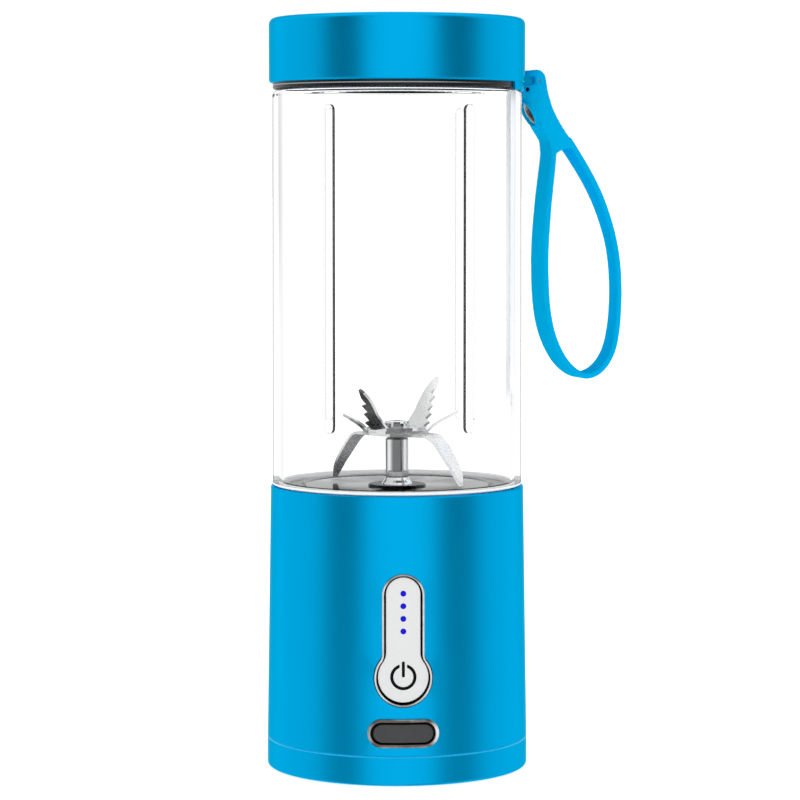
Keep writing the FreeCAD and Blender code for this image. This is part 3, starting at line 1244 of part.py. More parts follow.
lid = new_body("lid_shell")
revolve(lid, [
    (0, D["lid_ceiling"]), (D["lid_in"], D["lid_ceiling"]), (D["lid_in"], D["lid_low"]),
    (D["lid_radius"], D["lid_low"]), (D["lid_radius"], D["lid_top"]), (0, D["lid_top"])], "cap")
round_rings(lid, [(D["lid_radius"], D["lid_top"])], 2.0, "crown_round")
round_rings(lid, [(D["lid_radius"], D["lid_low"])], 0.9, "skirt_round")
LI = D["lid_in"]
lid_ridge = helix_ridge(lid, [
    (LI + 0.5, 212.7), (LI, 212.7), (LI - 0.7, 213.1), (LI - 0.7, 213.5),
    (LI, 213.9), (LI + 0.5, 213.9)], D["lid_lead"], 6.0, "lid_ridge")
polar(lid, [lid_ridge], D["lid_starts"], "lid_ridges")


def strap_placed(obj):
    return turn_about_z(obj, D["strap_turn"])


def side_prism(name, points, half):
    """Prism across the strap's plane: points are (r, z), width 2 * half."""
    b = new_body(name)
    sk = sketch_on(b, "XZ_Plane", name + "_side")
    poly(sk, points)
    pad(b, sk, dim(half) * 2, name + "_pad", midplane=True)
    return b


def cross_pin(name, r, half, at_r, at_z):
    """Cylinder across the strap's plane."""
    b = new_body(name)
    sk = sketch_on(b, "XZ_Plane", name + "_round")
    circle(sk, at_r, at_z, r)
    pad(b, sk, dim(half) * 2, name + "_pad", midplane=True)
    return b


# Lug on the lid's skirt: a lip along the lower edge, a root beside it, and
# the tongue that takes the pin.
lip_arc = new_body("lug_lip")
revolve(lip_arc, [
    (D["collar_out"] + 0.05, D["collar_low"] - 0.4), (D["collar_out"] + 0.65, D["collar_low"] - 0.4),
    (D["collar_out"] + 0.75, D["collar_low"]), (D["collar_out"] + 0.75, D["lid_low"] + 0.9),
    (D["collar_out"] + 0.05, D["lid_low"] + 0.9)], "lip", angle=D["lip_span"])
turn_about_z(lip_arc, D["lip_turn"])
lug_root = side_prism("lug_root", [
    (38.1, 207.2), (39.2, 207.2), (39.7, 207.7), (39.7, 211.6), (39.2, 212.4), (38.1, 212.4)], 3.5)
tongue = side_prism("lug_tongue", [
    (39.0, 208.9), (45.3, 208.85), (45.3, 212.35), (43.6, 212.1), (39.0, 211.8)], D["tongue_half"])
eye = cross_pin("lug_eye", 1.75, D["tongue_half"], D["pin_r"], D["pin_z"])
lug = fuse("lid_lug", [lug_root, tongue, eye])
lug_bore = cross_pin("lug_bore", D["pin_radius"] + 0.0, 6.0, D["pin_r"], D["pin_z"])
lug_bored = cut("lid_lug_bored", lug, lug_bore)
strap_placed(lug_bored)
node("lid_shell", fuse("lid_shell_solid", [lid, lug_bored, lip_arc]))

# Dark ring between the skirt and the cup's shoulder.
collar = new_body("lid_collar")
revolve(collar, [(D["collar_in"], D["collar_low"]), (D["collar_out"], D["collar_low"]),
                 (D["collar_out"], D["lid_low"]), (D["collar_in"] + 0.1, D["lid_low"]),
                 (D["collar_in"], D["lid_low"] - 0.1)])
round_rings(collar, [(D["collar_out"], D["collar_low"])], 0.7, "collar_round")
node("lid_collar", collar)

liner = new_body("lid_liner")
revolve(liner, [(0, 225.0), (30.4, 225.0), (30.4, 221.6), (31.9, 221.2), (32.5, 221.6),
                (32.5, 225.0), (32.5, D["lid_ceiling"]), (0, D["lid_ceiling"])])
node("lid_liner", liner)

pin = cross_pin("strap_pin_rod", D["pin_radius"], 4.7, D["pin_r"], D["pin_z"])
strap_placed(pin)
node("strap_pin", pin)

# ================================================================ strap

# Loop: a rectangular section swept along a smooth curve.
band = new_body("strap_band")
path = sketch_on(band, "XZ_Plane", "strap_path")
pts = [FreeCAD.Vector(num(D["loop_r_%02d" % i]), num(D["loop_z_%02d" % i]), 0) for i in range(len(LOOP))]
curve = Part.BSplineCurve()
curve.interpolate(pts)
path.addGeometry(curve, False)
doc.recompute()
start = pts[0]
ahead = curve.tangent(curve.FirstParameter)[0]
section = band.newObject("Sketcher::SketchObject", "strap_section")
section.AttachmentSupport = [(plane(band, "XY_Plane"), "")]
section.MapMode = "FlatFace"
ang = math.degrees(math.atan2(ahead.x, -ahead.y))
section.AttachmentOffset = FreeCAD.Placement(
    FreeCAD.Vector(start.x, 0, start.y), FreeCAD.Rotation(FreeCAD.Vector(0, 1, 0), -ang))
bind(section, "AttachmentOffset.Base.x", D["loop_r_00"])
bind(section, "AttachmentOffset.Base.z", D["loop_z_00"])
ST, SW = D["strap_thick"] / 2, D["strap_wide"] / 2
poly(section, [(-ST, -SW + 0.35), (-ST + 0.35, -SW), (ST - 0.35, -SW), (ST, -SW + 0.35),
               (ST, SW - 0.35), (ST - 0.35, SW), (-ST + 0.35, SW), (-ST, SW - 0.35)])
doc.recompute()
pipe = band.newObject("PartDesign::AdditivePipe", "strap_loop_pipe")
pipe.Profile = section
pipe.Spine = (path, ["Edge1"])
band.Tip = pipe
doc.recompute()

# Head: the two ends of the loop run together and up to the hinge.  Seen from
# the side it has a notch above the lug, and from above its nose is round.
head_side = side_prism("strap_head_side", [
    (40.5, 212.1), (40.9, 212.9), (41.8, 213.5), (43.0, 213.85), (44.4, 213.9), (45.5, 213.5),
    (46.4, 212.6), (46.9, 211.4), (47.2, 209.6), (47.6, 207.2), (48.3, 204.8), (49.2, 202.2),
    (50.5, 199.6), (51.9, 197.2), (53.6, 194.7), (55.4, 192.4), (56.4, 191.0), (54.9, 189.9),
    (53.2, 189.5), (51.4, 188.7), (50.7, 188.2), (48.8, 188.6), (48.5, 191.0), (48.3, 192.2),
    (47.4, 193.6), (46.4, 195.0), (45.4, 196.6), (44.4, 199.0), (43.3, 201.4), (42.0, 203.9),
    (41.0, 205.6), (40.5, 206.8), (40.5, 208.9), (40.8, 209.3), (43.3, 209.5), (43.5, 209.9),
    (43.5, 211.4), (43.3, 211.8), (40.8, 211.9)], D["strap_wide"] / 2)
nose = new_body("strap_nose")
sk = sketch_on(nose, "XY_Plane", "nose_round", offset=185)
circle(sk, D["nose_r"], 0, D["strap_wide"] / 2)
pad(nose, sk, 32, "nose_round_pad")
nose_back = block("strap_nose_back", (D["nose_r"], -D["strap_wide"] / 2, 185),
                  (D["nose_r"] + 14, D["strap_wide"] / 2, 217))
head = common("strap_head", head_side, fuse("strap_nose_plan", [nose, nose_back]))
# Round boss that carries the rivet, square to the sloping inner face.
tilt = num(D["rivet_tilt"])
RR, RZ = D["rivet_r"], D["rivet_z"]


def tilted_disc(name, r, depth, inset):
    """Disc on the rivet's axis, from inset inside the face out toward the cup."""
    c = doc.addObject("Part::Cylinder", name)
    dirx, dirz = -math.cos(math.radians(tilt)), -math.sin(math.radians(tilt))
    c.Radius = num(r)
    c.Height = num(depth)
    bind(c, "Radius", r)
    bind(c, "Height", depth)
    rot = FreeCAD.Rotation(FreeCAD.Vector(0, 0, 1), FreeCAD.Vector(dirx, 0, dirz))
    c.Placement = FreeCAD.Placement(FreeCAD.Vector(
        num(RR) - dirx * inset, 0, num(RZ) - dirz * inset), rot)
    doc.recompute()
    return c


def tilted_ball(name, r, inset):
    """Ball on the rivet's axis whose nearest point is inset inside the face."""
    c = doc.addObject("Part::Sphere", name)
    dirx, dirz = -math.cos(math.radians(tilt)), -math.sin(math.radians(tilt))
    c.Radius = num(r)
    bind(c, "Radius", r)
    deep = num(r) + inset
    c.Placement = FreeCAD.Placement(FreeCAD.Vector(
        num(RR) - dirx * deep, 0, num(RZ) - dirz * deep), FreeCAD.Rotation())
    doc.recompute()
    return c


rivet_boss = tilted_disc("rivet_boss", 4.6, 4.6, 4.6)
head_boss = fuse("strap_head_boss", [band, head, rivet_boss])
slot_low = block("head_slot_box", (D["pin_r"] - 6.5, -D["slot_half"], D["pin_z"] - 2.15),
                 (D["pin_r"] + 1.95, D["slot_half"], D["pin_z"] + 5.0))
slot_round = cross_pin("head_slot_round", 2.2, D["slot_half"], D["pin_r"], D["pin_z"])
pin_way = cross_pin("head_pin_way", D["pin_radius"] + D["run_gap"], 4.75, D["pin_r"], D["pin_z"])
rivet_hole = tilted_disc("rivet_hole", 2.0, 6.1, 5.6)
rivet_seat = tilted_disc("rivet_seat", 3.8, 2.0, 1.0)
vents = []
for side in (-1, 1):
    low_hole = cross_pin("vent_low_%d" % (side + 1), 0.42, 1.1, 41.75, 207.15)
    high_hole = cross_pin("vent_high_%d" % (side + 1), 0.42, 1.1, 41.2, 208.3)
    for hole in (low_hole, high_hole):
        hole.Placement = FreeCAD.Placement(FreeCAD.Vector(0, 4.0 * side, 0), FreeCAD.Rotation())
        vents.append(hole)
head_tools = fuse("strap_tools", [slot_low, slot_round, pin_way, rivet_hole, rivet_seat] + vents)
strap_solid = cut("strap_loop_cut", head_boss, head_tools)
strap_placed(strap_solid)
node("strap_loop", strap_solid)

rivet_disc = tilted_disc("rivet_disc", 3.45, 1.0, 1.0)
rivet_head = common("rivet_head", rivet_disc, tilted_ball("rivet_dome", D["dome_radius"], 0.15))
rivet_stem = tilted_disc("rivet_stem", 1.98, 4.5, 5.4)
rivet = fuse("strap_rivet_solid", [rivet_head, rivet_stem])
strap_placed(rivet)
node("strap_rivet", rivet)

# ================================================================ write

doc.recompute()
bad = []
for obj in doc.Objects:
    if "Invalid" in obj.State or "Error" in obj.State:
        bad.append(obj.Name + " " + str(obj.State))
if bad:
    raise RuntimeError("objects not built: " + "; ".join(bad))
os.makedirs("parts", exist_ok=True)
total = 0
for name in sorted(NODES):
    shape = NODES[name].Shape
    if shape.isNull() or not shape.isValid() or shape.Volume <= 0 or not shape.Solids:
        raise RuntimeError("bad shape: " + name)
    if len(shape.Solids) == 1:
        shape = shape.Solids[0]
    shape.exportStep("parts/%s.step" % name)
    bb = shape.BoundBox
    total += 1
    print("%-20s solids %d vol %10.2f  x %.2f..%.2f y %.2f..%.2f z %.2f..%.2f" % (
        name, len(NODES[name].Shape.Solids), shape.Volume, bb.XMin, bb.XMax, bb.YMin, bb.YMax, bb.ZMin, bb.ZMax))
print("nodes", total)
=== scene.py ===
import json
import math

import bpy
import numpy as np
from mathutils import Matrix, Vector


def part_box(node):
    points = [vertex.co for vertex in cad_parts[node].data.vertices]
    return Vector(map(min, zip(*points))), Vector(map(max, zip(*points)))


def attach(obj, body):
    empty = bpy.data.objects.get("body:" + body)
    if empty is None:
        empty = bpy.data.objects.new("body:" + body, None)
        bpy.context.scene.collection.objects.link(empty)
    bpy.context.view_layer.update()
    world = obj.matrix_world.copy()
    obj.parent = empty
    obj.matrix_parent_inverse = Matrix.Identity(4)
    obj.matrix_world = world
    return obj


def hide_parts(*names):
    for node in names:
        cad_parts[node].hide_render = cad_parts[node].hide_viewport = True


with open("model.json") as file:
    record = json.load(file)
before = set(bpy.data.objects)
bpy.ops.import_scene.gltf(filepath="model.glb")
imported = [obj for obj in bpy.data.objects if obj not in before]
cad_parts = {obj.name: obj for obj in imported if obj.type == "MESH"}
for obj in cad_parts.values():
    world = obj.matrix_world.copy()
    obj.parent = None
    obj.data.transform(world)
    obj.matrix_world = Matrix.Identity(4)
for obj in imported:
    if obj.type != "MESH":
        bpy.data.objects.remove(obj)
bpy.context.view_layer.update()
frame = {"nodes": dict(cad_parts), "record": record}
scene = bpy.context.scene
NODES = frame["nodes"]

# ------------------------------------------------------------------ picture
scene.view_settings.view_transform = "Standard"
scene.view_settings.look = "None"
scene.view_settings.exposure = 0.0
scene.view_settings.gamma = 1.0
scene.cycles.max_bounces = 24
scene.cycles.transmission_bounces = 20
scene.cycles.glossy_bounces = 10
scene.cycles.diffuse_bounces = 4
scene.cycles.transparent_max_bounces = 16
scene.cycles.sample_clamp_indirect = 8.0
scene.cycles.blur_glossy = 0.3
scene.cycles.use_denoising = True

# ------------------------------------------------------------------ camera
CAM_AZIMUTH = -2.7          # degrees, 0 looks along +Y
CAM_DISTANCE = 0.9484       # from the bottle's axis, level
CAM_HEIGHT = 0.17997
CAM_DOWN = 4.07
FOCAL_PIXELS = 3093.0       # for a picture 800 pixels wide
AXIS_PIXEL = 397.0

cam_data = bpy.data.cameras.new("camera")
cam_data.sensor_width = 36.0
cam_data.lens = FOCAL_PIXELS * 36.0 / 800.0
cam_data.clip_start, cam_data.clip_end = 0.05, 60.0
camera = bpy.data.objects.new("camera", cam_data)
scene.collection.objects.link(camera)
a = math.radians(CAM_AZIMUTH)
camera.location = (CAM_DISTANCE * math.sin(a), -CAM_DISTANCE * math.cos(a), CAM_HEIGHT)
yaw = math.atan((400.0 - AXIS_PIXEL) / FOCAL_PIXELS)
camera.rotation_euler = (math.radians(90.0 - CAM_DOWN), 0.0, a - yaw)
scene.camera = camera


# ------------------------------------------------------------------ node helpers
class Net:
    """A few short-hands for building a node tree."""

    def __init__(self, tree):
        self.tree = tree
        self.nodes, self.links = tree.nodes, tree.links

    def add(self, kind, **settings):
        n = self.nodes.new(kind)
        for k, v in settings.items():
            setattr(n, k, v)
        return n

    def put(self, value, socket):
        if isinstance(value, bpy.types.NodeSocket):
            self.links.new(value, socket)
        elif value is not None:
            socket.default_value = value

    def math(self, op, a, b=None, c=None, clamp=False):
        n = self.add("ShaderNodeMath", operation=op, use_clamp=clamp)
        self.put(a, n.inputs[0])
        if b is not None:
            self.put(b, n.inputs[1])
        if c is not None:
            self.put(c, n.inputs[2])
        return n.outputs[0]

    def smooth(self, x, lo, hi, to_lo=0.0, to_hi=1.0):
        n = self.add("ShaderNodeMapRange", interpolation_type="SMOOTHSTEP")
        for v, s in zip((x, lo, hi, to_lo, to_hi), n.inputs):
            self.put(v, s)
        return n.outputs[0]

    def span(self, x, lo, hi, to_lo, to_hi):
        n = self.add("ShaderNodeMapRange", interpolation_type="LINEAR")
        for v, s in zip((x, lo, hi, to_lo, to_hi), n.inputs):
            self.put(v, s)
        return n.outputs[0]

    def mix(self, f, x, y, blend="MIX"):
        n = self.add("ShaderNodeMix", data_type="RGBA", blend_type=blend)
        self.put(f, n.inputs[0])
        for v, s in ((x, n.inputs[6]), (y, n.inputs[7])):
            self.put(v, s)
        return n.outputs[2]

    def coords(self, scale=(1.0, 1.0, 1.0), turn=(0.0, 0.0, 0.0)):
        t = self.add("ShaderNodeTexCoord")
        m = self.add("ShaderNodeMapping")
        m.inputs["Scale"].default_value = scale
        m.inputs["Rotation"].default_value = turn
        self.links.new(t.outputs["Object"], m.inputs["Vector"])
        return m.outputs["Vector"]

    def noise(self, vector, scale, detail=3.0, rough=0.55, distort=0.0):
        n = self.add("ShaderNodeTexNoise")
        self.put(vector, n.inputs["Vector"])
        n.inputs["Scale"].default_value = scale
        n.inputs["Detail"].default_value = detail
        n.inputs["Roughness"].default_value = rough
        n.inputs["Distortion"].default_value = distort
        return n.outputs["Fac"]

    def bump(self, height, strength, distance, normal=None):
        n = self.add("ShaderNodeBump")
        n.inputs["Strength"].default_value = strength
        n.inputs["Distance"].default_value = distance
        self.put(height, n.inputs["Height"])
        if normal is not None:
            self.put(normal, n.inputs["Normal"])
        return n.outputs["Normal"]

    def xyz(self, vector):
        n = self.add("ShaderNodeSeparateXYZ")
        self.put(vector, n.inputs[0])
        return n.outputs


def new_material(name):
    m = bpy.data.materials.new(name)
    m.use_nodes = True
    net = Net(m.node_tree)
    net.nodes.clear()
    out = net.add("ShaderNodeOutputMaterial")
    shader = net.add("ShaderNodeBsdfPrincipled")
    net.links.new(shader.outputs[0], out.inputs["Surface"])
    return m, net, shader


def rgba(c, a=1.0):
    return (c[0], c[1], c[2], a)


def scaled(c, k):
    return (min(c[0] * k, 1.0), min(c[1] * k, 1.0), min(c[2] * k, 1.0), 1.0)


def plain(name, colour, metallic=0.0, rough=0.4, rough_by=0.08, vary=0.10, grain=900.0,
          grain_height=0.00001, grain_strength=0.25, blotch=60.0, stretch=(1, 1, 1), spec=0.5,
          ior=1.45, tint=None, sheen=0.0, coat=0.0, coat_rough=0.1, emit=None):
    """A finish with colour that drifts a little, fine grain in its normal and a varied roughness."""
    m, net, s = new_material(name)
    v = net.coords(stretch)
    big = net.noise(v, blotch, 3.0)
    fine = net.noise(v, grain, 2.0)
    net.put(net.mix(big, scaled(colour, 1.0 - vary), scaled(colour, 1.0 + vary)), s.inputs["Base Color"])
    r = net.span(net.noise(v, blotch * 2.3, 4.0), 0.3, 0.7, max(rough - rough_by, 0.02), min(rough + rough_by, 1.0))
    net.put(r, s.inputs["Roughness"])
    net.put(net.bump(fine, grain_strength, grain_height), s.inputs["Normal"])
    s.inputs["Metallic"].default_value = metallic
    s.inputs["Specular IOR Level"].default_value = spec
    s.inputs["IOR"].default_value = ior
    if tint:
        s.inputs["Specular Tint"].default_value = rgba(tint)
    if sheen:
        s.inputs["Sheen Weight"].default_value = sheen
        s.inputs["Sheen Roughness"].default_value = 0.4
        s.inputs["Sheen Tint"].default_value = rgba(tint or (1, 1, 1))
    if coat:
        s.inputs["Coat Weight"].default_value = coat
        s.inputs["Coat Roughness"].default_value = coat_rough
    if emit:
        s.inputs["Emission Color"].default_value = rgba(emit[0])
        s.inputs["Emission Strength"].default_value = emit[1]
    return m


# ------------------------------------------------------------------ materials
BLUE = (0.0004, 0.445, 0.86)


def blue_lacquer():
    """Sprayed metallic blue: fine flake under a satin film, slight drift of depth, soft scuffs in its roughness."""
    m, net, s = new_material("blue_lacquer")
    v = net.coords()
    flake = net.add("ShaderNodeTexVoronoi", feature="F1")
    net.put(v, flake.inputs["Vector"])
    flake.inputs["Scale"].default_value = 5200.0
    drift = net.noise(v, 26.0, 3.0)
    peel = net.noise(v, 420.0, 2.0, 0.5)
    colour = net.mix(drift, scaled(BLUE, 0.975), scaled(BLUE, 1.02))
    colour = net.mix(net.smooth(flake.outputs["Distance"], 0.2, 0.75, 0.0, 0.07), colour, (0.0002, 0.30, 0.62, 1))
    net.put(colour, s.inputs["Base Color"])
    scuff = net.smooth(net.noise(net.coords((1.0, 1.0, 9.0)), 130.0, 5.0, 0.65), 0.60, 0.78)
    rough = net.span(net.noise(v, 90.0, 3.0), 0.3, 0.7, 0.285, 0.325)
    rough = net.math("ADD", rough, net.math("MULTIPLY", scuff, 0.05))
    net.put(rough, s.inputs["Roughness"])
    n1 = net.bump(peel, 0.10, 0.00002)
    net.put(net.bump(flake.outputs["Distance"], 0.12, 0.000006, n1), s.inputs["Normal"])
    # painted highlight: the ledge at the seam of the bottom cover is painted as a pale, less metallic line
    x, y, z = net.xyz(v)
    painted_seam_highlight = net.math("MULTIPLY", net.smooth(z, 0.00862, 0.00872), net.smooth(z, 0.00928, 0.00916))
    net.put(net.mix(painted_seam_highlight, colour, (0.03, 0.60, 0.95, 1)), s.inputs["Base Color"])
    net.put(net.math("SUBTRACT", 1.0, net.math("MULTIPLY", painted_seam_highlight, 0.85)), s.inputs["Metallic"])
    s.inputs["Specular Tint"].default_value = (0.02, 0.85, 0.97, 1.0)
    return m


TURN = math.radians(16.0)
PIN = [(lo + hi) / 2 for lo, hi in zip(*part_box("strap_pin"))]
HOLE_R = PIN[0] * math.cos(TURN) + PIN[1] * math.sin(TURN) - 0.0037     # the vent hole in the strap's head
HOLE_Z = PIN[2] - 0.0028


def silicone(name, colour, rough=0.48):
    """Moulded silicone: matt skin with fine pitting, and painted shade inside the small hole in the strap's head."""
    m, net, s = new_material(name)
    v = net.coords()
    big = net.noise(v, 70.0, 4.0)
    pits = net.noise(v, 2600.0, 2.0, 0.6)
    skin = net.noise(v, 520.0, 3.0, 0.5)
    colour_drift = net.mix(big, scaled(colour, 0.95), scaled(colour, 1.04))
    x, y, z = net.xyz(v)
    out = net.math("ADD", net.math("MULTIPLY", x, math.cos(TURN)), net.math("MULTIPLY", y, math.sin(TURN)))
    side = net.math("SUBTRACT", net.math("MULTIPLY", y, math.cos(TURN)), net.math("MULTIPLY", x, math.sin(TURN)))
    # painted shade: the colour goes near black inside the small hole, on one face of the head only
    dr = net.math("MULTIPLY", net.math("SUBTRACT", out, HOLE_R), 1.40)
    dz = net.math("MULTIPLY", net.math("SUBTRACT", z, HOLE_Z), 0.85)
    away = net.math("SQRT", net.math("ADD", net.math("MULTIPLY", dr, dr), net.math("MULTIPLY", dz, dz)))
    hole = net.math("MULTIPLY", net.smooth(away, 0.00068, 0.00048), net.math("LESS_THAN", side, 0.0))
    net.put(net.mix(hole, colour_drift, (0.0002, 0.006, 0.02, 1)), s.inputs["Base Color"])
    net.put(net.span(net.noise(v, 150.0, 4.0), 0.3, 0.7, rough - 0.07, rough + 0.08), s.inputs["Roughness"])
    n1 = net.bump(skin, 0.16, 0.00004)
    net.put(net.bump(pits, 0.12, 0.00001, n1), s.inputs["Normal"])
    s.inputs["Specular IOR Level"].default_value = 0.0
    s.inputs["Specular Tint"].default_value = rgba((0.02, 0.75, 1.0))
    s.inputs["IOR"].default_value = 1.3
    return m


def clear_cup():
    """Clear moulded plastic: faint flow lines down the wall, a light tint and hair-fine scratches."""
    m, net, s = new_material("clear_cup")
    v = net.coords((1.0, 1.0, 0.12))
    flow = net.noise(v, 55.0, 2.0)
    hair = net.smooth(net.noise(net.coords((1.0, 1.0, 0.05), (0.0, 0.5, 0.2)), 900.0, 4.0, 0.7), 0.72, 0.86)
    # painted shade: the ribs' upright sides are drawn as thin grey lines, darkest on the edge towards the middle of the
    # front
    x, y, z = net.xyz(net.coords())
    nx, ny, nz = net.xyz(net.add("ShaderNodeTexCoord").outputs["Normal"])
    r = net.math("SQRT", net.math("ADD", net.math("MULTIPLY", x, x), net.math("MULTIPLY", y, y)))
    flip = net.math("MULTIPLY", net.math("SIGN", y), -1.0)
    fx, fy = net.math("MULTIPLY", x, flip), net.math("MULTIPLY", y, flip)

    def across(deg):
        a = math.radians(deg)
        return net.math("ADD", net.math("MULTIPLY", fx, math.cos(a)), net.math("MULTIPLY", fy, math.sin(a)))

    right = net.math("GREATER_THAN", fx, 0.0)
    u = net.math("ADD", net.math("MULTIPLY", right, net.math("MULTIPLY", across(36.2), -1.0)),
                 net.math("MULTIPLY", net.math("SUBTRACT", 1.0, right), across(-38.8)))
    over = net.math("MAXIMUM", net.math("SUBTRACT", z, 0.2007), net.math("SUBTRACT", 0.1061, z))
    over = net.math("MAXIMUM", over, 0.0)
    d = net.math("SQRT", net.math("ADD", net.math("MULTIPLY", u, u), net.math("MULTIPLY", over, over)))
    edge = net.math("MULTIPLY", net.smooth(d, 0.00138, 0.00148), net.math("LESS_THAN", d, 0.00184))
    turned = net.math("DIVIDE", net.math("SUBTRACT", net.math("MULTIPLY", x, ny), net.math("MULTIPLY", y, nx)), r)
    wall = net.math("MULTIPLY", net.smooth(net.math("ABSOLUTE", turned), 0.45, 0.75), net.math("LESS_THAN", d, 0.003))
    edge = net.math("MULTIPLY", net.math("MAXIMUM", edge, wall), net.math("LESS_THAN", r, 0.03488))
    inner = net.math("MULTIPLY", net.smooth(u, 0.0002, 0.0012), net.math("LESS_THAN", y, 0.0))
    tone = net.mix(inner, (0.66, 0.66, 0.66, 1), (0.008, 0.008, 0.008, 1))
    clear = net.mix(flow, (0.985, 0.992, 0.996, 1), (0.997, 0.999, 1.0, 1))
    # painted shade: the outer skin is painted grey where it is seen edge on
    rim = net.add("ShaderNodeLayerWeight")
    rim.inputs["Blend"].default_value = 0.5
    rim = net.math("MULTIPLY", net.smooth(rim.outputs["Facing"], 0.80, 0.885), net.smooth(r, 0.0355, 0.0360))
    clear = net.mix(rim, clear, (0.42, 0.425, 0.43, 1))
    # the foot of the wall is frosted white where it lands on the base, with a painted shadow line above it in front
    frost = net.smooth(z, 0.08768, 0.08750)
    # painted glare: on the strap's side the inner skin is painted opaque white where it is seen edge on, away from the
    # ribs
    haze_and_glare = net.add("ShaderNodeLayerWeight")
    haze_and_glare.inputs["Blend"].default_value = 0.5
    haze_and_glare = net.math("MULTIPLY", net.smooth(haze_and_glare.outputs["Facing"], 0.69, 0.725), net.math("GREATER_THAN", d, 0.003))
    haze_and_glare = net.math("MULTIPLY", haze_and_glare, net.math("MULTIPLY", net.math("GREATER_THAN", r, 0.03475), net.math("LESS_THAN", r, 0.0352)))
    haze_and_glare = net.math("MULTIPLY", haze_and_glare, net.math("MULTIPLY", net.math("GREATER_THAN", x, 0.020), net.smooth(z, 0.108, 0.118)))
    white = net.math("MAXIMUM", frost, haze_and_glare)
    # painted shadow: a dark line round the inner wall just above the frosted foot, on the front half
    line = net.math("MULTIPLY", net.smooth(z, 0.08762, 0.08772), net.smooth(z, 0.08806, 0.08796))
    line = net.math("MULTIPLY", line, net.math("LESS_THAN", r, 0.0352))
    line = net.math("MULTIPLY", line, net.smooth(y, 0.004, -0.004))
    skin = net.mix(edge, clear, tone)
    skin = net.mix(line, skin, (0.03, 0.03, 0.03, 1))
    net.put(net.mix(white, skin, (1.0, 1.0, 1.0, 1)), s.inputs["Base Color"])
    net.put(net.math("SUBTRACT", 1.0, white), s.inputs["Transmission Weight"])
    net.put(net.math("ADD", net.math("MULTIPLY", hair, 0.03), net.math("MULTIPLY", frost, 0.3)), s.inputs["Roughness"])
    net.put(net.bump(flow, 0.05, 0.00004), s.inputs["Normal"])
    s.inputs["IOR"].default_value = 1.04
    return m


def turned_steel(name, level=0.86, rough=0.05, lines=9000.0, depth=0.0000012):
    """Polished stainless with very fine turning marks round the axis, a few wipes, painted dark and light reflections
    in sectors round the disc, and a painted shade ring near its rim."""
    m, net, s = new_material(name)
    v = net.coords()
    x, y, z = net.xyz(v)
    r = net.math("SQRT", net.math("ADD", net.math("MULTIPLY", x, x), net.math("MULTIPLY", y, y)))
    ring = net.add("ShaderNodeCombineXYZ")
    net.put(r, ring.inputs[0])
    net.put(z, ring.inputs[1])
    marks = net.noise(ring.outputs[0], lines, 2.0)
    wipe = net.noise(net.coords((1.0, 3.0, 1.0), (0, 0, 0.6)), 120.0, 5.0, 0.65)
    shine = net.mix(net.smooth(wipe, 0.35, 0.7), (level, level, level * 1.005, 1), (level * 0.94, level * 0.94, level * 0.95, 1))
    # painted shade: a dark ring near the rim of the dish
    step = net.math("MULTIPLY", net.smooth(r, 0.0280, 0.0284), net.smooth(r, 0.0297, 0.0294))
    # painted reflections: darker sectors, and lighter, less metallic sectors, round the disc
    turn = net.math("MULTIPLY", net.math("ARCTAN2", net.math("ABSOLUTE", x), net.math("MULTIPLY", y, -1.0)), 180.0 / math.pi)
    turn = net.math("ADD", turn, net.math("MULTIPLY", net.math("SUBTRACT", wipe, 0.5), 16.0))
    painted_dark_sectors = net.math("MULTIPLY", net.smooth(turn, 54.0, 70.0), net.smooth(turn, 128.0, 108.0))
    painted_dark_sectors = net.math("MULTIPLY", painted_dark_sectors, net.smooth(r, 0.0150, 0.0190))
    painted_sheen = net.math("ADD", net.math("MULTIPLY", net.smooth(turn, 22.0, 30.0), net.smooth(turn, 52.0, 43.0)),
                     net.math("MULTIPLY", net.smooth(turn, 136.0, 142.0), net.smooth(turn, 162.0, 154.0)))
    painted_sheen = net.math("MULTIPLY", net.math("MULTIPLY", painted_sheen, net.smooth(r, 0.0095, 0.0110)), net.smooth(r, 0.0282, 0.0276))
    shine = net.mix(net.math("MULTIPLY", painted_dark_sectors, 0.62), shine, (0.10, 0.10, 0.10, 1))
    shine = net.mix(painted_sheen, shine, (0.93, 0.93, 0.93, 1))
    net.put(net.mix(step, shine, (0.05, 0.05, 0.05, 1)), s.inputs["Base Color"])
    net.put(net.span(wipe, 0.3, 0.7, max(rough - 0.02, 0.015), rough + 0.03), s.inputs["Roughness"])
    net.put(net.bump(marks, 0.2, depth), s.inputs["Normal"])
    net.put(net.math("SUBTRACT", 1.0, net.math("MULTIPLY", painted_sheen, 0.55)), s.inputs["Metallic"])
    return m


